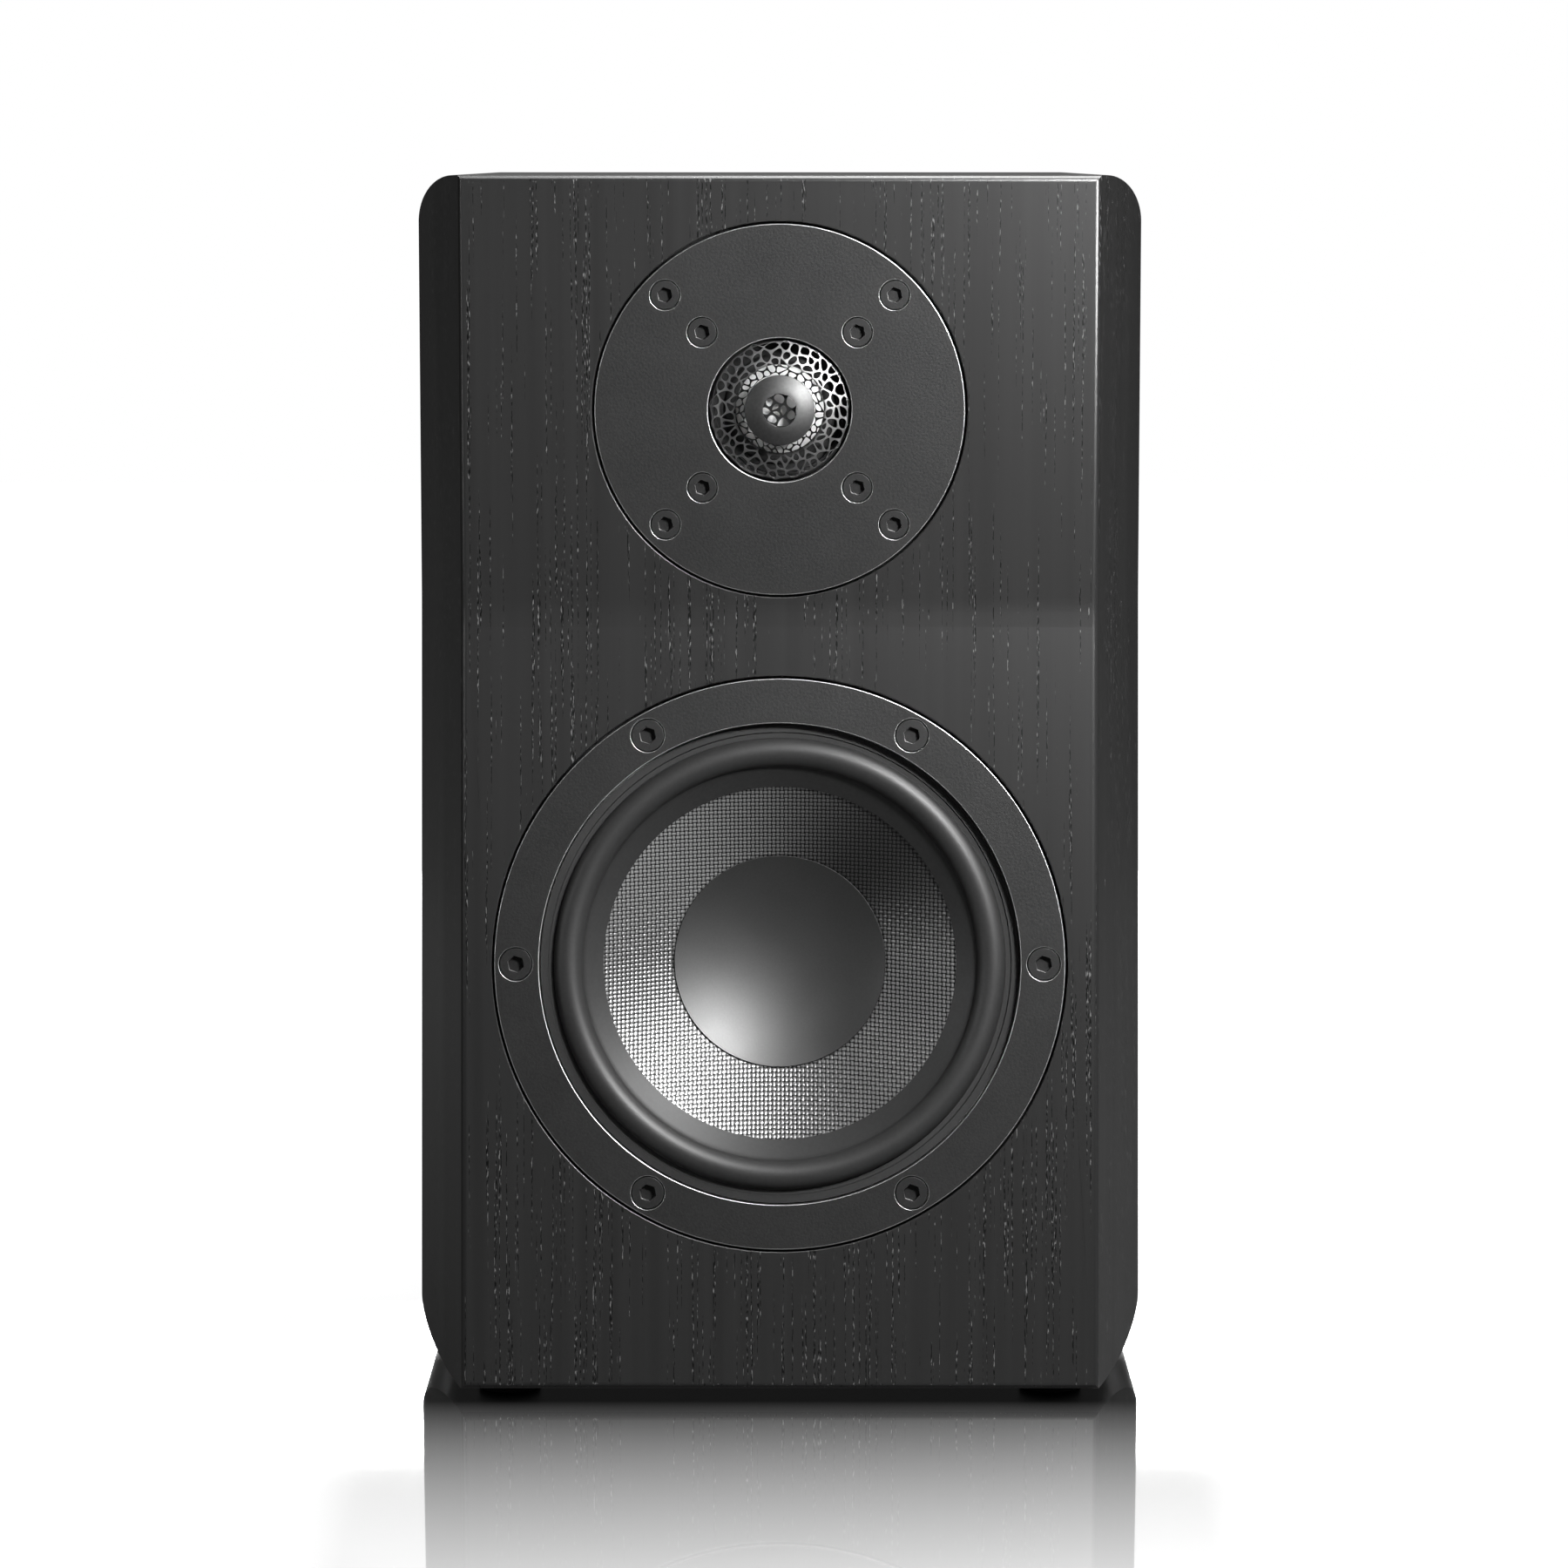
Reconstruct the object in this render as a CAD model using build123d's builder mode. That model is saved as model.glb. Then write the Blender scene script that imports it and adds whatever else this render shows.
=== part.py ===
"""Bookshelf loudspeaker with a bent front, in millimetres.

+Z is up, the front faces -Y, and the origin is on the floor in the middle of the overall width and depth.
"""

import os
from math import atan, cos, hypot, pi, sin, sqrt, tan

from build123d import *

os.makedirs("parts", exist_ok=True)

# Cabinet
CABINET_WIDTH = 215.0
CABINET_HEIGHT = 347.0
TOP_DEPTH = 252.0
TOE = 27.0
BEND_DROP = 125.0
BEND_RADIUS = 70.0
FACET_WIDTH = 16.0
FACET_DEPTH = 64.0
SOFT_EDGE = 2.0
PANEL = 18.0
BAFFLE = 25.0
BRACE = 15.0
FOOT_HEIGHT = 3.5
FOOT_RADIUS = 9.0

# Woofer, on the leaning half of the front
WOOFER_DROP = 225.4
WOOFER_RADIUS = 82.2
WOOFER_FLANGE = 6.0
WOOFER_GASKET = 1.0
WOOFER_SCREW_RING = 76.0
WOOFER_HEAD = 4.6
WOOFER_SCREW = 2.3
SURROUND = 0.8
CONE = 1.2
CONE_SLOPE = 0.686
CAP_RADIUS = 30.7
COIL_RADIUS = 19.0

# Tweeter, on the upright half of the front
TWEETER_DROP = 66.8
TWEETER_RADIUS = 53.1
TWEETER_PLATE = 5.0
TWEETER_GASKET = 1.0
TWEETER_OPENING = 20.6
TWEETER_OUTER_RING = 46.4
TWEETER_INNER_RING = 31.4
TWEETER_HEAD = 4.1
TWEETER_SCREW = 1.9
DOME_RADIUS = 12.7
DOME_RISE = 3.6
PLUG_RADIUS = 10.1
RIB = 0.52

# Rear side
TERMINAL_WIDTH = 84.0
TERMINAL_HEIGHT = 64.0
TERMINAL_PLATE = 3.0
POST_PITCH = 19.05
STUD_RADIUS = 3.0
SOCKET_RADIUS = 2.0
SOCKET_DEPTH = 16.0
COLLAR = 2.5
WASHER = 1.2
KNOB_RADIUS = 6.5
KNOB_LENGTH = 18.0
PORT_RADIUS = 26.0
PORT_WALL = 2.5
PORT_FLANGE = 40.0
PORT_LENGTH = 120.0

# Fits
FLUSH_GAP = 0.7
SCREW_GAP = 0.3
RUNNING_GAP = 0.4

EDGE_RADIUS = FACET_WIDTH - SOFT_EDGE
FRONT_HALF = CABINET_WIDTH / 2 - FACET_WIDTH
INNER_HALF = CABINET_WIDTH / 2 - PANEL
BOTTOM_Z = FOOT_HEIGHT
TOP_Z = BOTTOM_Z + CABINET_HEIGHT
BEND_Z = TOP_Z - BEND_DROP
MID_Z = (BOTTOM_Z + TOP_Z) / 2
LEAN = atan(TOE / (CABINET_HEIGHT - BEND_DROP))
NOSE = TOE - SOFT_EDGE * ((1 + sin(LEAN)) / cos(LEAN) - 1)
POST_REACH = COLLAR + WASHER + KNOB_LENGTH
FRONT_Y = NOSE - (NOSE + TOP_DEPTH + POST_REACH) / 2
REAR_Y = FRONT_Y + TOP_DEPTH
WALL_Y = REAR_Y - PANEL
FLOOR_Z = BOTTOM_Z + PANEL
CEILING_Z = TOP_Z - PANEL

WOOFER_Z = TOP_Z - WOOFER_DROP
WOOFER_Y = FRONT_Y - (BEND_Z - WOOFER_Z) * tan(LEAN)
TWEETER_Z = TOP_Z - TWEETER_DROP
BRACE_Z = WOOFER_Z + WOOFER_RADIUS + 2

woofer = Plane(origin=(0, WOOFER_Y, WOOFER_Z), x_dir=(1, 0, 0), z_dir=(0, -cos(LEAN), sin(LEAN)))
woofer_section = Plane(origin=woofer.origin, x_dir=(1, 0, 0), z_dir=-woofer.y_dir)
woofer_axis = Axis(woofer.origin, woofer.z_dir)
tweeter = Plane(origin=(0, FRONT_Y, TWEETER_Z), x_dir=(1, 0, 0), z_dir=(0, -1, 0))
tweeter_section = Plane(origin=tweeter.origin, x_dir=(1, 0, 0), z_dir=-tweeter.y_dir)
tweeter_axis = Axis(tweeter.origin, tweeter.z_dir)


def save(part, label):
    part.label = label
    export_step(part, f"parts/{label}.step")


# Cabinet: the outer form is made once and then parted into its panels.
with BuildPart() as cabinet_form:
    with BuildSketch(Plane.YZ) as side_view:
        Polygon(
            (FRONT_Y, TOP_Z),
            (FRONT_Y, BEND_Z),
            (FRONT_Y - TOE, BOTTOM_Z),
            (REAR_Y, BOTTOM_Z),
            (REAR_Y, TOP_Z),
            align=None,
        )
        fillet(side_view.vertices().sort_by_distance((FRONT_Y, BEND_Z))[0], radius=BEND_RADIUS)
    extrude(amount=FRONT_HALF, both=True)
    with BuildSketch(Plane.YZ.offset(FRONT_HALF)):
        add(side_view.sketch_local)
    extrude(amount=hypot(FACET_WIDTH, FACET_DEPTH), dir=(FACET_WIDTH, FACET_DEPTH, 0))
    with BuildSketch(Plane.YZ.offset(-FRONT_HALF)):
        add(side_view.sketch_local)
    extrude(amount=hypot(FACET_WIDTH, FACET_DEPTH), dir=(-FACET_WIDTH, FACET_DEPTH, 0))
    with BuildSketch(Plane(origin=(0, REAR_Y, MID_Z), x_dir=(1, 0, 0), z_dir=(0, -1, 0))):
        RectangleRounded(CABINET_WIDTH, CABINET_HEIGHT, EDGE_RADIUS)
    extrude(amount=TOP_DEPTH + 2 * TOE, mode=Mode.INTERSECT)
    front_faces = cabinet_form.faces().filter_by(lambda f: f.normal_at().Y < -0.9)
    rim = [
        e
        for e in front_faces.edges()
        if abs(e.center().X) > FRONT_HALF - 0.01 or not BOTTOM_Z + 0.01 < e.center().Z < TOP_Z - 0.01
    ]
    fillet(rim, radius=SOFT_EDGE)
    fillet(cabinet_form.faces().sort_by(Axis.Y)[-1].edges(), radius=SOFT_EDGE)

with BuildPart() as behind_baffle:
    with BuildSketch(Plane.YZ):
        with Locations((BAFFLE, 0)):
            add(side_view.sketch_local)
    extrude(amount=CABINET_WIDTH, both=True)

with BuildPart() as front_baffle:
    add(cabinet_form.part)
    add(behind_baffle.part, mode=Mode.SUBTRACT)
    with BuildSketch(woofer):
        Circle(WOOFER_RADIUS + FLUSH_GAP)
    extrude(amount=-(WOOFER_FLANGE + WOOFER_GASKET), mode=Mode.SUBTRACT)
    with BuildSketch(woofer):
        Circle(WOOFER_SCREW_RING - WOOFER_SCREW - 2)
    extrude(amount=-2 * BAFFLE, mode=Mode.SUBTRACT)
    with BuildSketch(woofer):
        with PolarLocations(WOOFER_SCREW_RING, 6):
            Circle(WOOFER_SCREW)
    extrude(amount=-(BAFFLE - 2), mode=Mode.SUBTRACT)
    with BuildSketch(tweeter):
        Circle(TWEETER_RADIUS + FLUSH_GAP)
    extrude(amount=-(TWEETER_PLATE + TWEETER_GASKET), mode=Mode.SUBTRACT)
    with BuildSketch(tweeter):
        Circle(TWEETER_OUTER_RING - TWEETER_SCREW - 4.5)
    extrude(amount=-2 * BAFFLE, mode=Mode.SUBTRACT)
    with BuildSketch(tweeter):
        with PolarLocations(TWEETER_OUTER_RING, 4, start_angle=45):
            Circle(TWEETER_SCREW)
    extrude(amount=-(BAFFLE - 3), mode=Mode.SUBTRACT)
save(front_baffle.part, "front_baffle")

with BuildPart() as right_side_panel:
    add(cabinet_form.part)
    add(behind_baffle.part, mode=Mode.INTERSECT)
    with BuildSketch(Plane.YZ.offset(INNER_HALF)):
        with Locations((0, MID_Z)):
            Rectangle(2 * TOP_DEPTH, 2 * CABINET_HEIGHT)
    extrude(amount=2 * PANEL, mode=Mode.INTERSECT)
save(right_side_panel.part, "right_side_panel")

with BuildPart() as left_side_panel:
    add(mirror(right_side_panel.part, about=Plane.YZ, mode=Mode.PRIVATE))
save(left_side_panel.part, "left_side_panel")

with BuildPart() as top_panel:
    add(cabinet_form.part)
    add(behind_baffle.part, mode=Mode.INTERSECT)
    with BuildSketch(Plane.XY.offset(CEILING_Z)):
        Rectangle(2 * INNER_HALF, 3 * TOP_DEPTH)
    extrude(amount=2 * PANEL, mode=Mode.INTERSECT)
save(top_panel.part, "top_panel")

with BuildPart() as bottom_panel:
    add(cabinet_form.part)
    add(behind_baffle.part, mode=Mode.INTERSECT)
    with BuildSketch(Plane.XY.offset(FLOOR_Z)):
        Rectangle(2 * INNER_HALF, 3 * TOP_DEPTH)
    extrude(amount=-2 * PANEL, mode=Mode.INTERSECT)
save(bottom_panel.part, "bottom_panel")

# Rear panel: carries the port above and the terminal plate below, both let in flush.
rear = Plane(origin=(0, REAR_Y, 0), x_dir=(-1, 0, 0), z_dir=(0, 1, 0))
PORT_Z = TOP_Z - PANEL - PORT_FLANGE - 22
TERMINAL_Z = FLOOR_Z + TERMINAL_HEIGHT / 2 + 22
PORT_FACE = 3.0
PORT_SEAT = PORT_RADIUS + PORT_WALL + 5
TERMINAL_GASKET = 1.0
HATCH_WIDTH = TERMINAL_WIDTH - 26
HATCH_HEIGHT = TERMINAL_HEIGHT - 26
TERMINAL_SCREW = 1.6
TERMINAL_HEAD = 3.4

with BuildPart() as rear_panel:
    with BuildSketch(rear):
        with Locations((0, MID_Z)):
            Rectangle(2 * INNER_HALF, CABINET_HEIGHT - 2 * PANEL)
    extrude(amount=-PANEL)
    with BuildSketch(rear):
        with Locations((0, PORT_Z)):
            Circle(PORT_FLANGE + 0.4)
        with Locations((0, TERMINAL_Z)):
            RectangleRounded(TERMINAL_WIDTH + 0.8, TERMINAL_HEIGHT + 0.8, 6.4)
    extrude(amount=-PORT_FACE, mode=Mode.SUBTRACT)
    with BuildSketch(rear):
        with Locations((0, TERMINAL_Z)):
            RectangleRounded(TERMINAL_WIDTH + 0.8, TERMINAL_HEIGHT + 0.8, 6.4)
    extrude(amount=-(TERMINAL_PLATE + TERMINAL_GASKET), mode=Mode.SUBTRACT)
    with BuildSketch(rear):
        with Locations((0, PORT_Z)):
            Circle(PORT_SEAT)
        with Locations((0, TERMINAL_Z)):
            RectangleRounded(HATCH_WIDTH, HATCH_HEIGHT, 5)
    extrude(amount=-PANEL, mode=Mode.SUBTRACT)
    with BuildSketch(rear):
        with Locations((0, TERMINAL_Z)):
            with GridLocations(TERMINAL_WIDTH - 12, TERMINAL_HEIGHT - 12, 2, 2):
                Circle(TERMINAL_SCREW)
    extrude(amount=-(PANEL - 2), mode=Mode.SUBTRACT)
save(rear_panel.part, "rear_panel")

# Window brace: a shelf between woofer and tweeter, pierced for air and leads.
BRACE_BACK = WALL_Y
WINDOW_FRONT = FRONT_Y + BAFFLE + 22
WINDOW_MID = (WINDOW_FRONT + BRACE_BACK - 22) / 2

with BuildPart() as window_brace:
    with BuildSketch(Plane.XY.offset(BRACE_Z)):
        with Locations((0, (FRONT_Y + BRACE_BACK) / 2)):
            Rectangle(2 * INNER_HALF, BRACE_BACK - FRONT_Y)
        with Locations((0, WINDOW_MID)):
            with GridLocations(INNER_HALF - 10, 0, 2, 1):
                RectangleRounded(INNER_HALF - 32, BRACE_BACK - 22 - WINDOW_FRONT, 12, mode=Mode.SUBTRACT)
    extrude(amount=BRACE)
    add(behind_baffle.part, mode=Mode.INTERSECT)
save(window_brace.part, "window_brace")

# Feet: four low rubber pads, set in from the edges so that the front hides them.
FOOT_FRONT = FRONT_Y - TOE + 34
FOOT_REAR = REAR_Y - 26

with BuildPart() as rubber_feet:
    with BuildSketch():
        with Locations((0, (FOOT_FRONT + FOOT_REAR) / 2)):
            with GridLocations(CABINET_WIDTH - 56, FOOT_REAR - FOOT_FRONT, 2, 2):
                Circle(FOOT_RADIUS)
    extrude(amount=FOOT_HEIGHT)
    chamfer(rubber_feet.faces().sort_by(Axis.Z)[0:4].edges(), length=0.6)
save(rubber_feet.part, "rubber_feet")

# Damping pads on the inside of the side panels, above the brace.
PAD = 10.0
PAD_FRONT = FRONT_Y + BAFFLE + 30

with BuildPart() as damping_pads:
    with BuildSketch(Plane.YZ.offset(INNER_HALF - PAD)):
        with Locations(((PAD_FRONT + WALL_Y - 16) / 2, (BRACE_Z + BRACE + CEILING_Z) / 2)):
            RectangleRounded(WALL_Y - 16 - PAD_FRONT, CEILING_Z - BRACE_Z - BRACE - 12, 8)
    extrude(amount=PAD)
    mirror(about=Plane.YZ)
save(damping_pads.part, "damping_pads")

# Reflex port: a flared mouth outside and a plain tube plugged onto it inside.
FLARE = PORT_FLANGE - PORT_RADIUS - 4
port_section = Plane(origin=(0, REAR_Y, PORT_Z), x_dir=(1, 0, 0), z_dir=(0, 0, 1))
port_axis = Axis((0, REAR_Y, PORT_Z), (0, 1, 0))
MOUTH = 20.0

with BuildPart() as port_flare:
    with BuildSketch(port_section):
        with BuildLine():
            Polyline(
                (PORT_RADIUS + FLARE, 0),
                (PORT_FLANGE, 0),
                (PORT_FLANGE, -PORT_FACE),
                (PORT_SEAT, -PORT_FACE),
                (PORT_SEAT, -MOUTH),
                (PORT_RADIUS, -MOUTH),
                (PORT_RADIUS, -FLARE),
            )
            ThreePointArc(
                (PORT_RADIUS, -FLARE),
                (PORT_RADIUS + FLARE * (1 - sqrt(0.5)), -FLARE * (1 - sqrt(0.5))),
                (PORT_RADIUS + FLARE, 0),
            )
        make_face()
    revolve(axis=port_axis)
save(port_flare.part, "port_flare")

with BuildPart() as port_tube:
    with BuildSketch(Plane(origin=(0, REAR_Y - MOUTH, PORT_Z), x_dir=(1, 0, 0), z_dir=(0, -1, 0))):
        Circle(PORT_RADIUS + PORT_WALL)
        Circle(PORT_RADIUS, mode=Mode.SUBTRACT)
    extrude(amount=PORT_LENGTH - MOUTH)
save(port_tube.part, "port_tube")

# Terminal plate, its gasket and screws
with BuildPart() as terminal_plate:
    with BuildSketch(rear.offset(-TERMINAL_PLATE)):
        with Locations((0, TERMINAL_Z)):
            RectangleRounded(TERMINAL_WIDTH, TERMINAL_HEIGHT, 6)
            with GridLocations(POST_PITCH, 0, 2, 1):
                Circle(STUD_RADIUS + 1.5, mode=Mode.SUBTRACT)
            with GridLocations(TERMINAL_WIDTH - 12, TERMINAL_HEIGHT - 12, 2, 2):
                Circle(TERMINAL_SCREW + SCREW_GAP, mode=Mode.SUBTRACT)
    extrude(amount=TERMINAL_PLATE)
    with BuildSketch(rear):
        with Locations((0, TERMINAL_Z)):
            with GridLocations(TERMINAL_WIDTH - 12, TERMINAL_HEIGHT - 12, 2, 2):
                Circle(TERMINAL_HEAD + SCREW_GAP)
    extrude(amount=-1.8, mode=Mode.SUBTRACT)
save(terminal_plate.part, "terminal_plate")

with BuildPart() as terminal_gasket:
    with BuildSketch(rear.offset(-TERMINAL_PLATE - TERMINAL_GASKET)):
        with Locations((0, TERMINAL_Z)):
            RectangleRounded(TERMINAL_WIDTH, TERMINAL_HEIGHT, 6)
            RectangleRounded(HATCH_WIDTH, HATCH_HEIGHT, 5, mode=Mode.SUBTRACT)
            with GridLocations(TERMINAL_WIDTH - 12, TERMINAL_HEIGHT - 12, 2, 2):
                Circle(TERMINAL_SCREW + SCREW_GAP, mode=Mode.SUBTRACT)
    extrude(amount=TERMINAL_GASKET)
save(terminal_gasket.part, "terminal_gasket")

with BuildPart() as terminal_screws:
    with BuildSketch(rear.offset(-1.8)):
        with Locations((0, TERMINAL_Z)):
            with GridLocations(TERMINAL_WIDTH - 12, TERMINAL_HEIGHT - 12, 2, 2):
                Circle(TERMINAL_HEAD)
    extrude(amount=1.7)
    with BuildSketch(rear.offset(-1.8)):
        with Locations((0, TERMINAL_Z)):
            with GridLocations(TERMINAL_WIDTH - 12, TERMINAL_HEIGHT - 12, 2, 2):
                Circle(TERMINAL_SCREW)
    extrude(amount=-10)
    with BuildSketch(rear):
        with Locations((0, TERMINAL_Z)):
            with GridLocations(TERMINAL_WIDTH - 12, TERMINAL_HEIGHT - 12, 2, 2):
                RegularPolygon(1.25, 6, major_radius=False)
    extrude(amount=-1.3, mode=Mode.SUBTRACT)
save(terminal_screws.part, "terminal_screws")

# Binding posts: insulating collars in the plate, brass studs with a plug socket, inner nuts
STUD_TAIL = 12.0
STUD_END = POST_REACH - 0.5
NUT = 3.0

with BuildPart() as post_collars:
    with BuildSketch(rear):
        with Locations((0, TERMINAL_Z)):
            with GridLocations(POST_PITCH, 0, 2, 1):
                Circle(STUD_RADIUS + 4)
    extrude(amount=COLLAR)
    with BuildSketch(rear.offset(-TERMINAL_PLATE)):
        with Locations((0, TERMINAL_Z)):
            with GridLocations(POST_PITCH, 0, 2, 1):
                Circle(STUD_RADIUS + 1.5)
    extrude(amount=TERMINAL_PLATE)
    with BuildSketch(rear.offset(-TERMINAL_PLATE)):
        with Locations((0, TERMINAL_Z)):
            with GridLocations(POST_PITCH, 0, 2, 1):
                Circle(STUD_RADIUS)
    extrude(amount=TERMINAL_PLATE + COLLAR, mode=Mode.SUBTRACT)
save(post_collars.part, "post_collars")

with BuildPart() as post_studs:
    with BuildSketch(rear.offset(-STUD_TAIL)):
        with Locations((0, TERMINAL_Z)):
            with GridLocations(POST_PITCH, 0, 2, 1):
                Circle(STUD_RADIUS)
    extrude(amount=STUD_TAIL + STUD_END)
    with BuildSketch(rear.offset(STUD_END)):
        with Locations((0, TERMINAL_Z)):
            with GridLocations(POST_PITCH, 0, 2, 1):
                Circle(SOCKET_RADIUS)
    extrude(amount=-SOCKET_DEPTH, mode=Mode.SUBTRACT)
save(post_studs.part, "post_studs")

with BuildPart() as post_nuts:
    with BuildSketch(rear.offset(-TERMINAL_PLATE - NUT)):
        with Locations((0, TERMINAL_Z)):
            with GridLocations(POST_PITCH, 0, 2, 1):
                RegularPolygon(STUD_RADIUS + 2, 6, major_radius=False)
                Circle(STUD_RADIUS, mode=Mode.SUBTRACT)
    extrude(amount=NUT)
save(post_nuts.part, "post_nuts")

# Knobs and clamp washers: each knob runs on its stud's thread and carries the loose washer under it.
# Seen from behind, the positive post is on the right, which is -X.
for post, across in (("positive", POST_PITCH / 2), ("negative", -POST_PITCH / 2)):
    with BuildPart() as clamp_washer:
        with BuildSketch(rear.offset(COLLAR)):
            with Locations((across, TERMINAL_Z)):
                Circle(STUD_RADIUS + 2.5)
                Circle(STUD_RADIUS + RUNNING_GAP, mode=Mode.SUBTRACT)
        extrude(amount=WASHER)
    save(clamp_washer.part, f"clamp_washer_{post}")

    with BuildPart() as post_knob:
        with BuildSketch(rear.offset(COLLAR + WASHER)):
            with Locations((across, TERMINAL_Z)):
                Circle(KNOB_RADIUS)
                with PolarLocations(KNOB_RADIUS + 0.5, 12):
                    Circle(0.95, mode=Mode.SUBTRACT)
        extrude(amount=KNOB_LENGTH - 4)
        with BuildSketch(rear.offset(COLLAR + WASHER + KNOB_LENGTH - 4)):
            with Locations((across, TERMINAL_Z)):
                Circle(KNOB_RADIUS - 0.8)
        extrude(amount=4)
        with BuildSketch(rear.offset(COLLAR + WASHER)):
            with Locations((across, TERMINAL_Z)):
                Circle(STUD_RADIUS + RUNNING_GAP)
        extrude(amount=KNOB_LENGTH, mode=Mode.SUBTRACT)
        outer_end = post_knob.faces().sort_by(Axis.Y)[-1]
        chamfer(outer_end.outer_wire().edges(), length=0.8)
    save(post_knob.part, f"post_knob_{post}")

# Woofer frame: flush ring, seat for the surround, six spokes, seat for the spider and the motor
LIP = WOOFER_RADIUS - 12.9
LEDGE = LIP - 3.8
LEDGE_H = -4.6
ROLL_OUT = LEDGE - 0.25
ROLL_IN = ROLL_OUT - 8.4
LANDING = ROLL_IN - 5.8
SPIDER_OUT = COIL_RADIUS + 34
SPIDER_H = -42.0
MOTOR_H = -52.0
BASKET = SPIDER_OUT + 3


def cone_front(r):
    return LEDGE_H - SURROUND - (ROLL_IN - r) * CONE_SLOPE


with BuildPart() as woofer_frame:
    with BuildSketch(woofer_section):
        Polygon(
            (LIP + 0.4, 0),
            (WOOFER_RADIUS - 0.5, 0),
            (WOOFER_RADIUS, -0.5),
            (WOOFER_RADIUS, -WOOFER_FLANGE),
            (WOOFER_SCREW_RING - WOOFER_SCREW - 3, -WOOFER_FLANGE),
            (BASKET, -46),
            (BASKET, MOTOR_H),
            (COIL_RADIUS + 9, MOTOR_H),
            (COIL_RADIUS + 9, MOTOR_H + 3),
            (SPIDER_OUT - 5, MOTOR_H + 3),
            (SPIDER_OUT - 5, SPIDER_H),
            (SPIDER_OUT + 0.2, SPIDER_H),
            (LEDGE, -9.5),
            (LEDGE, LEDGE_H),
            (LIP, LEDGE_H),
            (LIP, -0.4),
            align=None,
        )
    revolve(axis=woofer_axis)
    with BuildSketch(woofer.offset(-40)):
        Circle(WOOFER_RADIUS)
        with PolarLocations(0, 6):
            Rectangle(2 * WOOFER_RADIUS, 13, mode=Mode.SUBTRACT)
    extrude(amount=29, mode=Mode.SUBTRACT)
    with BuildSketch(woofer):
        with PolarLocations(WOOFER_SCREW_RING, 6):
            Circle(WOOFER_HEAD + SCREW_GAP)
    extrude(amount=-3.4, mode=Mode.SUBTRACT)
    with BuildSketch(woofer):
        with PolarLocations(WOOFER_SCREW_RING, 6):
            Circle(WOOFER_SCREW + SCREW_GAP)
    extrude(amount=-WOOFER_FLANGE, mode=Mode.SUBTRACT)
save(woofer_frame.part, "woofer_frame")

with BuildPart() as woofer_gasket:
    with BuildSketch(woofer.offset(-WOOFER_FLANGE - WOOFER_GASKET)):
        Circle(WOOFER_RADIUS - 0.5)
        Circle(WOOFER_SCREW_RING - WOOFER_SCREW - 2, mode=Mode.SUBTRACT)
        with PolarLocations(WOOFER_SCREW_RING, 6):
            Circle(WOOFER_SCREW + SCREW_GAP, mode=Mode.SUBTRACT)
    extrude(amount=WOOFER_GASKET)
save(woofer_gasket.part, "woofer_gasket")

with BuildPart() as woofer_screws:
    with BuildSketch(woofer.offset(-3.4)):
        with PolarLocations(WOOFER_SCREW_RING, 6):
            Circle(WOOFER_HEAD)
    extrude(amount=3.25)
    with BuildSketch(woofer.offset(-3.4)):
        with PolarLocations(WOOFER_SCREW_RING, 6):
            Circle(WOOFER_SCREW)
    extrude(amount=-(BAFFLE - 7))
    with BuildSketch(woofer):
        with PolarLocations(WOOFER_SCREW_RING, 6):
            RegularPolygon(2.15, 6, major_radius=False)
    extrude(amount=-2.4, mode=Mode.SUBTRACT)
save(woofer_screws.part, "woofer_screws")

# Moving half of the woofer: surround, cone, dished cap, former with its winding, spider
with BuildPart() as woofer_surround:
    with BuildSketch(woofer_section):
        with BuildLine():
            Polyline(
                (LIP - 0.3, LEDGE_H),
                (LIP - 0.3, LEDGE_H + 1.2),
                (ROLL_OUT + 1.6, LEDGE_H + 1.2),
                (ROLL_OUT + 1.3, LEDGE_H + 0.75),
                (ROLL_OUT, LEDGE_H + 0.7),
            )
            ThreePointArc(
                (ROLL_OUT, LEDGE_H + 0.7),
                ((ROLL_OUT + ROLL_IN) / 2, LEDGE_H + 4.25),
                (ROLL_IN, LEDGE_H + 0.4),
            )
            Polyline(
                (ROLL_IN, LEDGE_H + 0.4),
                (ROLL_IN - 1.2, cone_front(ROLL_IN - 1.2) + SURROUND + 0.1),
                (LANDING, cone_front(LANDING) + SURROUND),
                (LANDING, cone_front(LANDING)),
                (ROLL_IN + 0.8, cone_front(ROLL_IN + 0.8)),
                (ROLL_IN + 0.8, LEDGE_H),
            )
            ThreePointArc(
                (ROLL_IN + 0.8, LEDGE_H),
                ((ROLL_OUT + ROLL_IN) / 2, LEDGE_H + 4.25 - SURROUND),
                (ROLL_OUT - 0.8, LEDGE_H),
            )
            Line((ROLL_OUT - 0.8, LEDGE_H), (LIP - 0.3, LEDGE_H))
        make_face()
    revolve(axis=woofer_axis)
save(woofer_surround.part, "woofer_surround")

with BuildPart() as woofer_cone:
    with BuildSketch(woofer_section):
        Polygon(
            (ROLL_IN + 0.8, cone_front(ROLL_IN + 0.8)),
            (COIL_RADIUS, cone_front(COIL_RADIUS)),
            (COIL_RADIUS, cone_front(COIL_RADIUS) - CONE),
            (ROLL_IN + 0.8, cone_front(ROLL_IN + 0.8) - CONE),
            align=None,
        )
    revolve(axis=woofer_axis)
save(woofer_cone.part, "woofer_cone")

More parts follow.
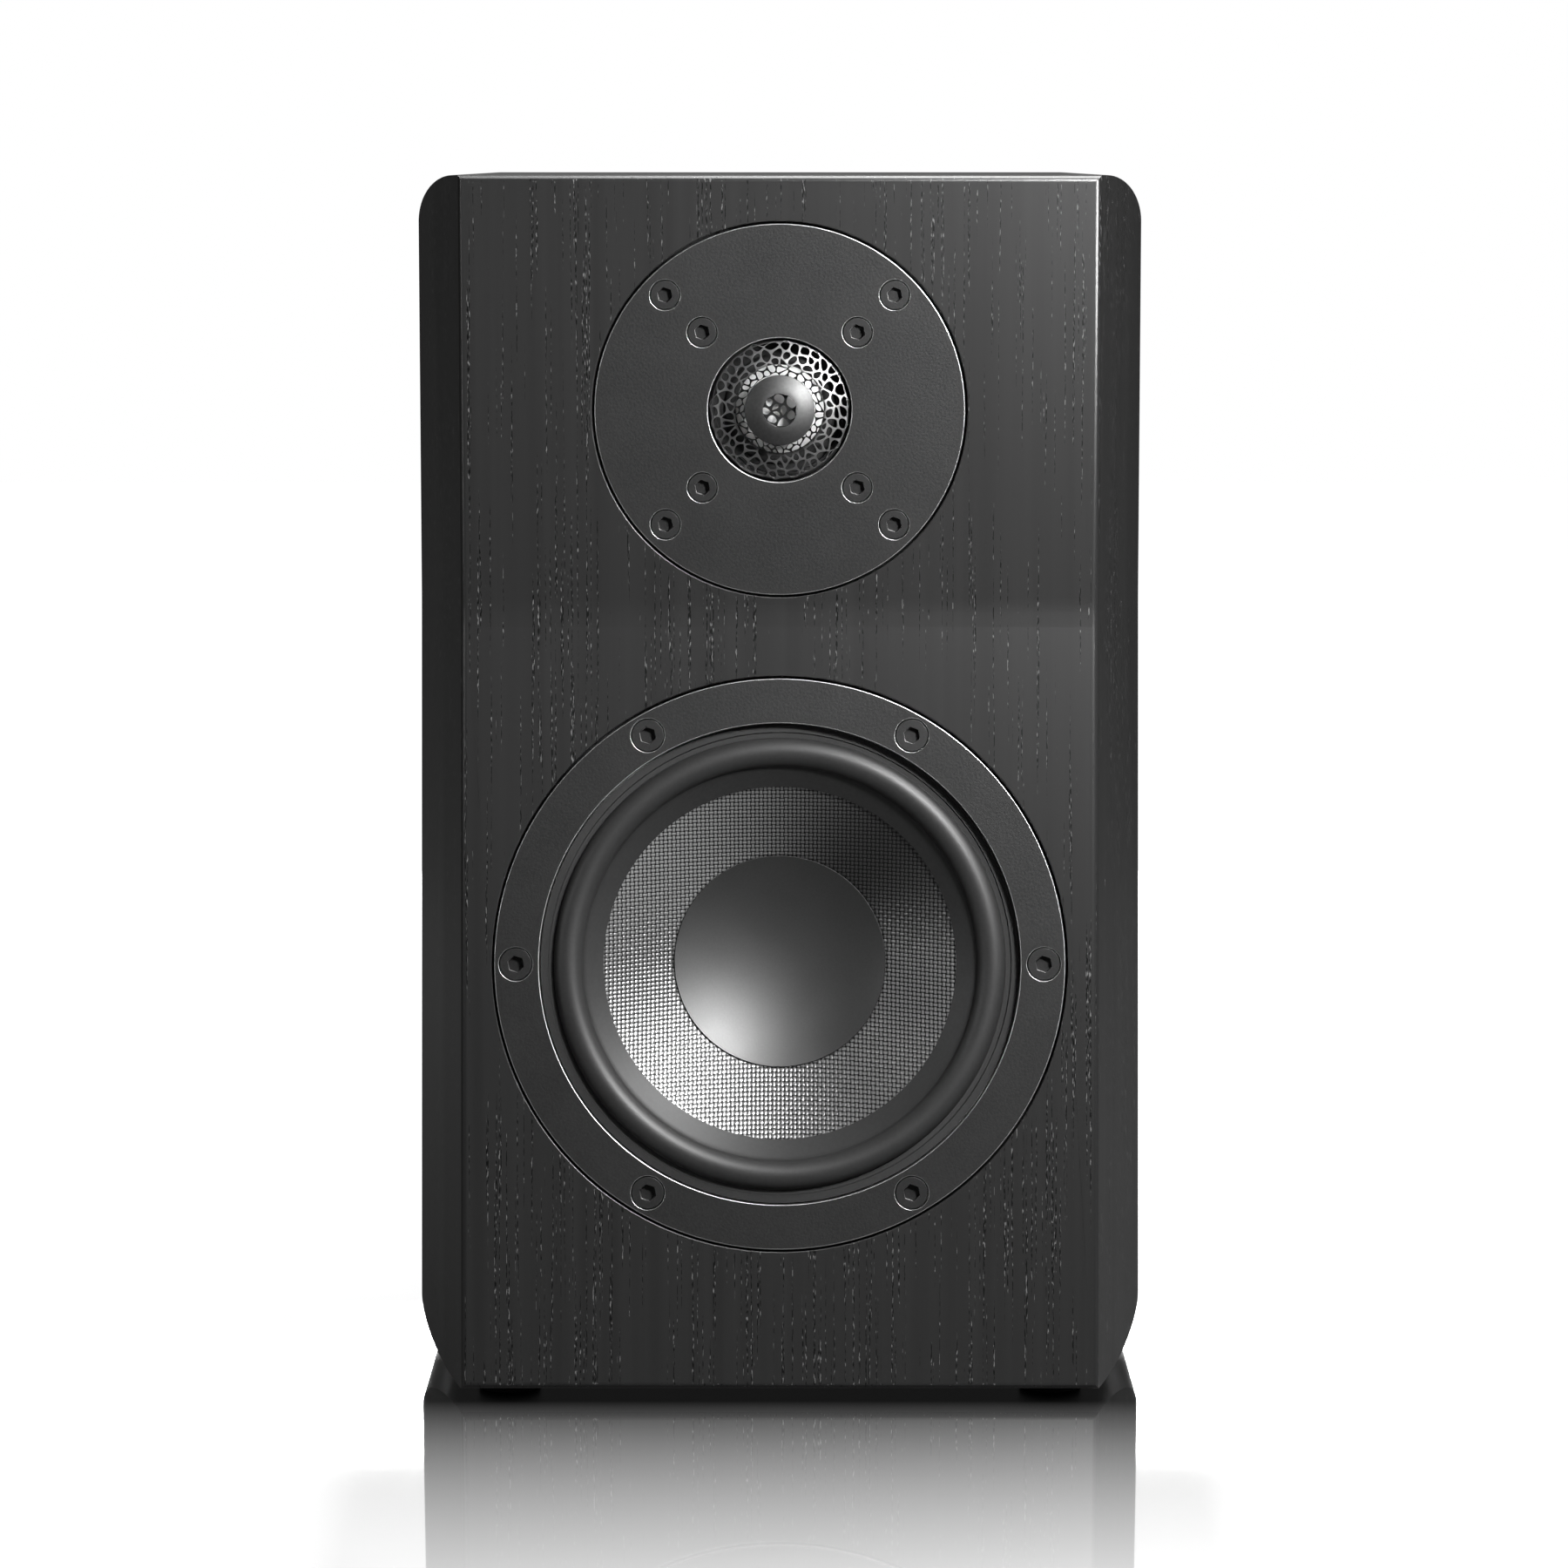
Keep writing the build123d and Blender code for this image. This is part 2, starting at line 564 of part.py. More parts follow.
CAP_SAG = CAP_RADIUS * 0.21
CAP_RIM = cone_front(CAP_RADIUS) + 0.8
CAP_MID = CAP_RIM - CAP_SAG
CAP_CURVE = (CAP_RADIUS**2 + CAP_SAG**2) / (2 * CAP_SAG)
CAP_FOOT = CAP_RADIUS - 1.1
CAP_UNDER = cone_front(CAP_FOOT) - CAP_MID + 0.7
CAP_UNDER_CURVE = (CAP_FOOT**2 + CAP_UNDER**2) / (2 * CAP_UNDER)

with BuildPart() as dust_cap:
    with BuildSketch(woofer_section):
        with BuildLine():
            Polyline(
                (CAP_FOOT, cone_front(CAP_FOOT)),
                (CAP_RADIUS, cone_front(CAP_RADIUS)),
                (CAP_RADIUS, CAP_RIM),
            )
            RadiusArc((CAP_RADIUS, CAP_RIM), (0, CAP_MID), CAP_CURVE)
            Line((0, CAP_MID), (0, CAP_MID - 0.7))
            RadiusArc((0, CAP_MID - 0.7), (CAP_FOOT, cone_front(CAP_FOOT)), -CAP_UNDER_CURVE)
        make_face()
    revolve(axis=woofer_axis)
save(dust_cap.part, "dust_cap")

FORMER_TOP = cone_front(COIL_RADIUS) + 1.4
FORMER = 0.4
WINDING = 0.9
TOP_PLATE = 8.0
MAGNET = 18.0
COIL_MID = MOTOR_H - TOP_PLATE / 2
COIL_HALF = TOP_PLATE / 2 + 4

with BuildPart() as woofer_former:
    with BuildSketch(woofer.offset(COIL_MID - COIL_HALF - 1)):
        Circle(COIL_RADIUS)
        Circle(COIL_RADIUS - FORMER, mode=Mode.SUBTRACT)
    extrude(amount=FORMER_TOP - COIL_MID + COIL_HALF + 1)
save(woofer_former.part, "woofer_former")

with BuildPart() as woofer_coil:
    with BuildSketch(woofer.offset(COIL_MID - COIL_HALF)):
        Circle(COIL_RADIUS + WINDING)
        Circle(COIL_RADIUS, mode=Mode.SUBTRACT)
    extrude(amount=2 * COIL_HALF)
save(woofer_coil.part, "woofer_coil")

WAVES = 9
WAVE_PITCH = (SPIDER_OUT - 5.5 - COIL_RADIUS - 2) / WAVES
spider_line = [
    (COIL_RADIUS + 2 + i * WAVE_PITCH, SPIDER_H + (1.6 if i % 2 else 0.0)) for i in range(WAVES + 1)
]

with BuildPart() as woofer_spider:
    with BuildSketch(woofer_section):
        Polygon(
            (COIL_RADIUS, SPIDER_H + 2),
            (COIL_RADIUS, SPIDER_H),
            *spider_line,
            (SPIDER_OUT - 5, SPIDER_H),
            (SPIDER_OUT, SPIDER_H),
            (SPIDER_OUT, SPIDER_H + 0.6),
            (SPIDER_OUT - 5, SPIDER_H + 0.6),
            *[(r, h + 0.6) for r, h in reversed(spider_line)],
            (COIL_RADIUS + 0.6, SPIDER_H + 2),
            align=None,
        )
    revolve(axis=woofer_axis)
save(woofer_spider.part, "woofer_spider")

# Woofer motor
MOTOR_GAP = COIL_RADIUS + WINDING + RUNNING_GAP + 0.1
POLE = COIL_RADIUS - FORMER - RUNNING_GAP

with BuildPart() as woofer_top_plate:
    with BuildSketch(woofer.offset(MOTOR_H - TOP_PLATE)):
        Circle(BASKET - 3)
        Circle(MOTOR_GAP, mode=Mode.SUBTRACT)
    extrude(amount=TOP_PLATE)
save(woofer_top_plate.part, "woofer_top_plate")

with BuildPart() as woofer_magnet:
    with BuildSketch(woofer.offset(MOTOR_H - TOP_PLATE - MAGNET)):
        Circle(BASKET + 2)
        Circle(MOTOR_GAP + 4, mode=Mode.SUBTRACT)
    extrude(amount=MAGNET)
save(woofer_magnet.part, "woofer_magnet")

with BuildPart() as woofer_yoke:
    with BuildSketch(woofer.offset(MOTOR_H - 2 * TOP_PLATE - MAGNET)):
        Circle(BASKET - 3)
    extrude(amount=TOP_PLATE)
    with BuildSketch(woofer.offset(MOTOR_H - TOP_PLATE - MAGNET)):
        Circle(POLE)
    extrude(amount=MAGNET + TOP_PLATE + 1)
    with BuildSketch(woofer.offset(MOTOR_H - 2 * TOP_PLATE - MAGNET)):
        Circle(POLE / 3)
    extrude(amount=MAGNET + 2 * TOP_PLATE + 1, mode=Mode.SUBTRACT)
save(woofer_yoke.part, "woofer_yoke")

TAG = 9.0
TAG_H = MOTOR_H + 2

with BuildPart() as woofer_terminals:
    with BuildSketch(woofer.offset(TAG_H)):
        with Locations((BASKET, 0)):
            Rectangle(2 * TAG, 20)
        Circle(BASKET, mode=Mode.SUBTRACT)
    extrude(amount=2)
save(woofer_terminals.part, "woofer_terminals")

# Tweeter face plate with its screws
PLATE_CBORE = TWEETER_PLATE - 2

with BuildPart() as tweeter_plate:
    with BuildSketch(tweeter_section):
        Polygon(
            (TWEETER_OPENING + 0.5, 0),
            (TWEETER_RADIUS - 0.5, 0),
            (TWEETER_RADIUS, -0.5),
            (TWEETER_RADIUS, -TWEETER_PLATE),
            (TWEETER_OPENING, -TWEETER_PLATE),
            (TWEETER_OPENING, -0.5),
            align=None,
        )
    revolve(axis=tweeter_axis)
    with BuildSketch(tweeter):
        with PolarLocations(TWEETER_OUTER_RING, 4, start_angle=45):
            Circle(TWEETER_HEAD + SCREW_GAP)
        with PolarLocations(TWEETER_INNER_RING, 4, start_angle=45):
            Circle(TWEETER_HEAD + SCREW_GAP)
    extrude(amount=-PLATE_CBORE, mode=Mode.SUBTRACT)
    with BuildSketch(tweeter):
        with PolarLocations(TWEETER_OUTER_RING, 4, start_angle=45):
            Circle(TWEETER_SCREW + SCREW_GAP)
        with PolarLocations(TWEETER_INNER_RING, 4, start_angle=45):
            Circle(TWEETER_SCREW + SCREW_GAP)
    extrude(amount=-TWEETER_PLATE, mode=Mode.SUBTRACT)
save(tweeter_plate.part, "tweeter_plate")

with BuildPart() as tweeter_gasket:
    with BuildSketch(tweeter.offset(-TWEETER_PLATE - TWEETER_GASKET)):
        Circle(TWEETER_RADIUS - 0.5)
        Circle(TWEETER_OUTER_RING - TWEETER_SCREW - 4.5, mode=Mode.SUBTRACT)
        with PolarLocations(TWEETER_OUTER_RING, 4, start_angle=45):
            Circle(TWEETER_SCREW + SCREW_GAP, mode=Mode.SUBTRACT)
    extrude(amount=TWEETER_GASKET)
save(tweeter_gasket.part, "tweeter_gasket")

MOUNT_RING = 4.4
DOME_PLATE = 5.6
MOUNT_H = -TWEETER_PLATE - MOUNT_RING

with BuildPart() as tweeter_outer_screws:
    with BuildSketch(tweeter.offset(-PLATE_CBORE)):
        with PolarLocations(TWEETER_OUTER_RING, 4, start_angle=45):
            Circle(TWEETER_HEAD)
    extrude(amount=PLATE_CBORE - 0.15)
    with BuildSketch(tweeter.offset(-PLATE_CBORE)):
        with PolarLocations(TWEETER_OUTER_RING, 4, start_angle=45):
            Circle(TWEETER_SCREW)
    extrude(amount=-(BAFFLE - 8))
    with BuildSketch(tweeter):
        with PolarLocations(TWEETER_OUTER_RING, 4, start_angle=45):
            RegularPolygon(1.95, 6, major_radius=False)
    extrude(amount=-2.2, mode=Mode.SUBTRACT)
save(tweeter_outer_screws.part, "tweeter_outer_screws")

with BuildPart() as tweeter_inner_screws:
    with BuildSketch(tweeter.offset(-PLATE_CBORE)):
        with PolarLocations(TWEETER_INNER_RING, 4, start_angle=45):
            Circle(TWEETER_HEAD)
    extrude(amount=PLATE_CBORE - 0.15)
    with BuildSketch(tweeter.offset(-PLATE_CBORE)):
        with PolarLocations(TWEETER_INNER_RING, 4, start_angle=45):
            Circle(TWEETER_SCREW)
    extrude(amount=MOUNT_H + PLATE_CBORE - 4)
    with BuildSketch(tweeter):
        with PolarLocations(TWEETER_INNER_RING, 4, start_angle=45):
            RegularPolygon(1.95, 6, major_radius=False)
    extrude(amount=-2.2, mode=Mode.SUBTRACT)
save(tweeter_inner_screws.part, "tweeter_inner_screws")

# Lattice diffuser: a domed ring of irregular cells between the rim and the plug in the middle
LATTICE = 0.9
LATTICE_RIM = TWEETER_OPENING - 0.3
LATTICE_OUT = LATTICE_RIM - 1.0
LATTICE_IN = PLUG_RADIUS + 0.7
LATTICE_H = 1.0
RIM_H = 3.6 - TWEETER_PLATE


def clip(polygon, point, normal):
    """Keeps the side of the line through point that the normal points away from."""
    kept = []
    for a, b in zip(polygon, polygon[1:] + polygon[:1]):
        da = (a[0] - point[0]) * normal[0] + (a[1] - point[1]) * normal[1]
        db = (b[0] - point[0]) * normal[0] + (b[1] - point[1]) * normal[1]
        if da <= 0:
            kept.append(a)
        if da * db < 0:
            t = da / (da - db)
            kept.append((a[0] + t * (b[0] - a[0]), a[1] + t * (b[1] - a[1])))
    return kept


def wobble(i, k):
    return (sin(12.9898 * i + 78.233 * k) * 43758.5453) % 1.0 - 0.5


def cells(rings, inner, outer, rib):
    """Rounded-off cells around scattered sites, each drawn in by half a rib from its neighbours."""
    sites = []
    width = (outer - inner) / len(rings)
    for k, count in enumerate(rings):
        for i in range(count):
            r = inner + (k + 0.5 + 0.45 * wobble(i, k + 1)) * width
            a = 2 * pi * (i + 0.5 * (k % 2) + 0.55 * wobble(i, k + 9)) / count
            sites.append((r * cos(a), r * sin(a)))
    walls = list(sites)
    for x, y in sites:
        r = hypot(x, y)
        walls.append((x * (2 * outer - r) / r, y * (2 * outer - r) / r))
        if inner > 0:
            walls.append((x * (2 * inner - r) / r, y * (2 * inner - r) / r))
    found = []
    for x, y in sites:
        reach = 2 * width
        cell = [(x - reach, y - reach), (x + reach, y - reach), (x + reach, y + reach), (x - reach, y + reach)]
        for u, v in walls:
            gap = hypot(u - x, v - y)
            if 1e-6 < gap < 4 * width:
                n = ((u - x) / gap, (v - y) / gap)
                cell = clip(cell, (x + n[0] * (gap - rib) / 2, y + n[1] * (gap - rib) / 2), n)
        if len(cell) > 2:
            found.append(cell)
    return found


with BuildPart() as tweeter_diffuser:
    with BuildSketch(tweeter_section):
        with BuildLine():
            Polyline(
                (LATTICE_IN, LATTICE_H),
                (PLUG_RADIUS, LATTICE_H),
                (PLUG_RADIUS, LATTICE_H - LATTICE),
                (LATTICE_IN, LATTICE_H - LATTICE),
            )
            ThreePointArc(
                (LATTICE_IN, LATTICE_H - LATTICE),
                ((LATTICE_IN + LATTICE_OUT) / 2, (LATTICE_H + RIM_H) / 2 + 0.5 - LATTICE),
                (LATTICE_OUT, RIM_H - LATTICE),
            )
            Polyline(
                (LATTICE_OUT, RIM_H - LATTICE),
                (LATTICE_OUT, -TWEETER_PLATE),
                (LATTICE_RIM, -TWEETER_PLATE),
                (LATTICE_RIM, RIM_H),
                (LATTICE_OUT, RIM_H),
            )
            ThreePointArc(
                (LATTICE_OUT, RIM_H),
                ((LATTICE_IN + LATTICE_OUT) / 2, (LATTICE_H + RIM_H) / 2 + 0.5),
                (LATTICE_IN, LATTICE_H),
            )
        make_face()
    revolve(axis=tweeter_axis)
    with BuildSketch(tweeter.offset(-TWEETER_PLATE)):
        for cell in cells([22, 25, 28, 30], LATTICE_IN, LATTICE_OUT, RIB):
            Polygon(*cell, align=None)
    extrude(amount=TWEETER_PLATE + LATTICE_H + 1, mode=Mode.SUBTRACT)
save(tweeter_diffuser.part, "tweeter_diffuser")

EYE = PLUG_RADIUS / 2

with BuildPart() as phase_plug:
    with BuildSketch(tweeter_section):
        Polygon(
            (0, LATTICE_H - LATTICE + 0.8),
            (EYE, LATTICE_H - LATTICE + 0.8),
            (EYE, LATTICE_H + 1.5),
            (EYE + 1, LATTICE_H + 1.6),
            (PLUG_RADIUS, LATTICE_H),
            (PLUG_RADIUS, LATTICE_H - LATTICE),
            (0, LATTICE_H - LATTICE),
            align=None,
        )
    revolve(axis=tweeter_axis)
    with BuildSketch(tweeter.offset(LATTICE_H - LATTICE)):
        for cell in cells([4, 9], 0.0, EYE - 0.3, RIB):
            Polygon(*cell, align=None)
    extrude(amount=LATTICE, mode=Mode.SUBTRACT)
save(phase_plug.part, "phase_plug")

# Moving half of the tweeter: dome, roll around it, former with its winding
DOME_H = MOUNT_H + 0.9
DOME_CURVE = (DOME_RADIUS**2 + DOME_RISE**2) / (2 * DOME_RISE)
DOME = 0.35
DOME_FORMER = 0.3
DOME_WINDING = 0.5

with BuildPart() as tweeter_dome:
    with BuildSketch(tweeter_section):
        with BuildLine():
            RadiusArc((DOME_RADIUS, DOME_H), (0, DOME_H + DOME_RISE), -DOME_CURVE)
            Polyline(
                (0, DOME_H + DOME_RISE),
                (0, DOME_H + DOME_RISE - DOME),
            )
            RadiusArc((0, DOME_H + DOME_RISE - DOME), (DOME_RADIUS, DOME_H - DOME), DOME_CURVE)
            Line((DOME_RADIUS, DOME_H - DOME), (DOME_RADIUS, DOME_H))
        make_face()
    revolve(axis=tweeter_axis)
save(tweeter_dome.part, "tweeter_dome")

TWEETER_ROLL = DOME_RADIUS + 3.4

with BuildPart() as tweeter_surround:
    with BuildSketch(tweeter_section):
        with BuildLine():
            ThreePointArc(
                (DOME_RADIUS, DOME_H),
                ((DOME_RADIUS + TWEETER_ROLL) / 2, DOME_H + 1.2),
                (TWEETER_ROLL, MOUNT_H + 0.5),
            )
            Polyline(
                (TWEETER_ROLL, MOUNT_H + 0.5),
                (TWEETER_ROLL + 2.4, MOUNT_H + 0.5),
                (TWEETER_ROLL + 2.4, MOUNT_H),
                (TWEETER_ROLL, MOUNT_H),
            )
            ThreePointArc(
                (TWEETER_ROLL, MOUNT_H),
                ((DOME_RADIUS + TWEETER_ROLL) / 2, DOME_H + 0.75),
                (DOME_RADIUS, DOME_H - DOME),
            )
            Line((DOME_RADIUS, DOME_H - DOME), (DOME_RADIUS, DOME_H))
        make_face()
    revolve(axis=tweeter_axis)
save(tweeter_surround.part, "tweeter_surround")

FORMER_OUT = DOME_RADIUS - 0.2
GAP_MID = MOUNT_H - DOME_PLATE / 2

with BuildPart() as tweeter_former:
    with BuildSketch(tweeter.offset(GAP_MID - 2.4)):
        Circle(FORMER_OUT)
        Circle(FORMER_OUT - DOME_FORMER, mode=Mode.SUBTRACT)
    extrude(amount=DOME_H - GAP_MID + 2.4)
    add(tweeter_dome.part, mode=Mode.SUBTRACT)
    former_top = tweeter_former.solids().sort_by(Axis.Y)[-1]
save(Part(former_top.wrapped), "tweeter_former")

with BuildPart() as tweeter_coil:
    with BuildSketch(tweeter.offset(GAP_MID - 1.9)):
        Circle(FORMER_OUT + DOME_WINDING)
        Circle(FORMER_OUT, mode=Mode.SUBTRACT)
    extrude(amount=3.8)
save(tweeter_coil.part, "tweeter_coil")

# Tweeter motor, screwed to the plate through the mounting ring
TWEETER_BODY = TWEETER_INNER_RING + 5
DOME_GAP = FORMER_OUT + DOME_WINDING + RUNNING_GAP
DOME_POLE = FORMER_OUT - DOME_FORMER - RUNNING_GAP
TWEETER_MAGNET = 12.0
TWEETER_YOKE = 5.0
CHAMBER = 20.0

with BuildPart() as tweeter_mount_ring:
    with BuildSketch(tweeter.offset(MOUNT_H)):
        Circle(TWEETER_BODY)
        Circle(TWEETER_ROLL + 2.4, mode=Mode.SUBTRACT)
        with PolarLocations(TWEETER_INNER_RING, 4, start_angle=45):
            Circle(TWEETER_SCREW + SCREW_GAP, mode=Mode.SUBTRACT)
    extrude(amount=MOUNT_RING)
save(tweeter_mount_ring.part, "tweeter_mount_ring")

with BuildPart() as tweeter_top_plate:
    with BuildSketch(tweeter.offset(MOUNT_H - DOME_PLATE)):
        Circle(TWEETER_BODY)
        Circle(DOME_GAP, mode=Mode.SUBTRACT)
        with PolarLocations(TWEETER_INNER_RING, 4, start_angle=45):
            Circle(TWEETER_SCREW, mode=Mode.SUBTRACT)
    extrude(amount=DOME_PLATE)
save(tweeter_top_plate.part, "tweeter_top_plate")

with BuildPart() as tweeter_magnet:
    with BuildSketch(tweeter.offset(MOUNT_H - DOME_PLATE - TWEETER_MAGNET)):
        Circle(TWEETER_BODY - 2)
        Circle(DOME_GAP + 3, mode=Mode.SUBTRACT)
    extrude(amount=TWEETER_MAGNET)
save(tweeter_magnet.part, "tweeter_magnet")

YOKE_H = MOUNT_H - DOME_PLATE - TWEETER_MAGNET

with BuildPart() as tweeter_yoke:
    with BuildSketch(tweeter.offset(YOKE_H - TWEETER_YOKE)):
        Circle(TWEETER_BODY - 2)
    extrude(amount=TWEETER_YOKE)
    with BuildSketch(tweeter.offset(YOKE_H)):
        Circle(DOME_POLE)
    extrude(amount=TWEETER_MAGNET + DOME_PLATE - 0.3)
    with BuildSketch(tweeter.offset(YOKE_H - TWEETER_YOKE)):
        Circle(DOME_POLE / 3)
    extrude(amount=TWEETER_YOKE + TWEETER_MAGNET + DOME_PLATE, mode=Mode.SUBTRACT)
save(tweeter_yoke.part, "tweeter_yoke")

with BuildPart() as tweeter_chamber:
    with BuildSketch(tweeter.offset(YOKE_H - TWEETER_YOKE)):
        Circle(TWEETER_BODY - 12)
    extrude(amount=-CHAMBER)
    with BuildSketch(tweeter.offset(YOKE_H - TWEETER_YOKE)):
        Circle(TWEETER_BODY - 14)
    extrude(amount=-(CHAMBER - 2), mode=Mode.SUBTRACT)
save(tweeter_chamber.part, "tweeter_chamber")

TWEETER_TAG = TWEETER_BODY - 7
TAG_REACH = 6.0

with BuildPart() as tweeter_terminals:
    with BuildSketch(tweeter.offset(YOKE_H - TWEETER_YOKE)):
        with GridLocations(2 * TWEETER_TAG, 0, 2, 1):
            Rectangle(5, 6.3)
    extrude(amount=-TAG_REACH)
save(tweeter_terminals.part, "tweeter_terminals")

# Crossover on standoffs over the bottom panel
BOARD = 1.6
STANDOFF = 8.0
BOARD_WIDTH = 124.0
BOARD_BACK = WALL_Y - 22
BOARD_FRONT = FRONT_Y + 92
BOARD_Y = (BOARD_FRONT + BOARD_BACK) / 2
BOARD_LENGTH = BOARD_BACK - BOARD_FRONT
BOARD_Z = FLOOR_Z + STANDOFF
BOARD_TOP = BOARD_Z + BOARD
board = Plane(origin=(0, BOARD_Y, BOARD_TOP), x_dir=(1, 0, 0), z_dir=(0, 0, 1))

with BuildPart() as crossover_board:
    with BuildSketch(Plane.XY.offset(BOARD_Z)):
        with Locations((0, BOARD_Y)):
            RectangleRounded(BOARD_WIDTH, BOARD_LENGTH, 3)
            with GridLocations(BOARD_WIDTH - 12, BOARD_LENGTH - 12, 2, 2):
                Circle(1.5 + SCREW_GAP, mode=Mode.SUBTRACT)
    extrude(amount=BOARD)
save(crossover_board.part, "crossover_board")

with BuildPart() as board_standoffs:
    with BuildSketch(Plane.XY.offset(FLOOR_Z)):
        with Locations((0, BOARD_Y)):
            with GridLocations(BOARD_WIDTH - 12, BOARD_LENGTH - 12, 2, 2):
                Circle(4)
                Circle(1.5, mode=Mode.SUBTRACT)
    extrude(amount=STANDOFF)
save(board_standoffs.part, "board_standoffs")

with BuildPart() as board_screws:
    with BuildSketch(board):
        with GridLocations(BOARD_WIDTH - 12, BOARD_LENGTH - 12, 2, 2):
            Circle(2.8)
    extrude(amount=2)
    with BuildSketch(board):
        with GridLocations(BOARD_WIDTH - 12, BOARD_LENGTH - 12, 2, 2):
            Circle(1.5)
    extrude(amount=-(BOARD + 6))
save(board_screws.part, "board_screws")

with BuildPart() as inductors:
    with BuildSketch(board):
        with Locations((-34, 8), (34, 8)):
            Circle(16)
            Circle(7, mode=Mode.SUBTRACT)
    extrude(amount=14)
save(inductors.part, "inductors")

with BuildPart() as capacitors:
    with BuildSketch(board):
        with Locations((-36, -28), (0, -28), (36, -28)):
            Rectangle(28, 15)
    extrude(amount=15)
    fillet(capacitors.edges().filter_by(Axis.X).group_by(Axis.Z)[-1], radius=6.5)
save(capacitors.part, "capacitors")

with BuildPart() as resistors:
    with BuildSketch(board):
        with Locations((-6, 14), (8, 14)):
            Rectangle(8, 24)
    extrude(amount=8)
save(resistors.part, "resistors")

# Leads, each held from its tag to the board
LEAD = 1.3
LEAD_BEND = 6.0

with BuildPart() as input_leads:
    for across in (-1, 1):
        x = across * (POST_PITCH / 2)
        y = BOARD_BACK - 8
        with BuildLine() as path:
            FilletPolyline(
                (x, REAR_Y - STUD_TAIL, TERMINAL_Z),
                (x, y, TERMINAL_Z),
                (x, y, BOARD_TOP),
                radius=LEAD_BEND,
            )
        with BuildSketch(Plane(origin=path.line @ 0, z_dir=path.line % 0)):
            Circle(LEAD)
        sweep(path=path.line)
save(input_leads.part, "input_leads")

with BuildPart() as woofer_leads:
    for across in (-5, 5):
        start = woofer.from_local_coords((BASKET + 5, across, TAG_H))
        back = woofer.from_local_coords((BASKET + 5, across, TAG_H - 26))
        x = BASKET + 5
        with BuildLine() as path:
            FilletPolyline(
                start,
                back,
                (x - 8 + across, BOARD_FRONT + 12, back.Z - 10),
                (x - 8 + across, BOARD_FRONT + 12, BOARD_TOP),
                radius=LEAD_BEND,
            )
        with BuildSketch(Plane(origin=path.line @ 0, z_dir=path.line % 0)):
            Circle(LEAD)
        sweep(path=path.line)
save(woofer_leads.part, "woofer_leads")

with BuildPart() as tweeter_leads:
    for across in (-1, 1):
        x = across * TWEETER_TAG
        tag_y = FRONT_Y - YOKE_H + TWEETER_YOKE + TAG_REACH
        with BuildLine() as path:
            FilletPolyline(
                (x, tag_y, TWEETER_Z),
                (x, BOARD_FRONT + 8, TWEETER_Z),
                (x, BOARD_FRONT + 8, BOARD_TOP),
                radius=LEAD_BEND,
            )
        with BuildSketch(Plane(origin=path.line @ 0, z_dir=path.line % 0)):
            Circle(LEAD)
        sweep(path=path.line)
save(tweeter_leads.part, "tweeter_leads")
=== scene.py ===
import math

import bpy
from mathutils import Matrix, Vector
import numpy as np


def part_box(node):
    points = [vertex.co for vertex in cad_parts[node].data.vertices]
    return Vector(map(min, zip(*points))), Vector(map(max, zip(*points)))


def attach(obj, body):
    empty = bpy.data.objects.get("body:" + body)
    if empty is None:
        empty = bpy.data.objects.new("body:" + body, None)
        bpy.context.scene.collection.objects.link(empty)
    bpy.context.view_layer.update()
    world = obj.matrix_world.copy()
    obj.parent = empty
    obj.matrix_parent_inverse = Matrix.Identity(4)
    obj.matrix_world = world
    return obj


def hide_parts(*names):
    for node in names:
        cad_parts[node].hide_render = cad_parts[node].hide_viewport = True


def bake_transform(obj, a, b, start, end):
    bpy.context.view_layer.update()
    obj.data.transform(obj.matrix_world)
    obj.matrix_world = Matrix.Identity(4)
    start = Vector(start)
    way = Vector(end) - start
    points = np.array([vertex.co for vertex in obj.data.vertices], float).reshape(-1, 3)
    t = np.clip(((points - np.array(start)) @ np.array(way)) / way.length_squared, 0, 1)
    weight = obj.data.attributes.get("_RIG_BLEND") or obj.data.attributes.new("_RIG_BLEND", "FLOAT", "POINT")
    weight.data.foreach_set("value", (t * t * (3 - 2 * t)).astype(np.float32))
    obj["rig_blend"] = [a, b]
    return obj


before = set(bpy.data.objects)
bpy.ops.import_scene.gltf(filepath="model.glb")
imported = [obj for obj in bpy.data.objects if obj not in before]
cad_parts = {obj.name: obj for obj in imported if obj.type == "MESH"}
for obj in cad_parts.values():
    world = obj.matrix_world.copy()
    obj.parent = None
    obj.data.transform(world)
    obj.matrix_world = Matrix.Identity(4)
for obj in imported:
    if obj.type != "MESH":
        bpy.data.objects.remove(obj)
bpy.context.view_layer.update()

bpy.context.scene.view_settings.view_transform = "Standard"

# Cabinet panels: fibreboard wrapped in black stained oak veneer, open pored,
# under satin lacquer. The boards are glued edge to edge, and the wrap runs
# over their rounded edges, so the grain stands upright on the front and sides.


def pick(piece):
    bpy.ops.object.select_all(action="DESELECT")
    piece.select_set(True)
    bpy.context.view_layer.objects.active = piece


def worked(piece, kind, **settings):
    pick(piece)
    step = piece.modifiers.new(kind, kind)
    for key, value in settings.items():
        setattr(step, key, value)
    bpy.ops.object.modifier_apply(modifier=step.name)


def eased(piece, angle=35.0):
    pick(piece)
    bpy.ops.object.shade_smooth_by_angle(angle=math.radians(angle))
    worked(piece, "WEIGHTED_NORMAL", keep_sharp=True, weight=80)


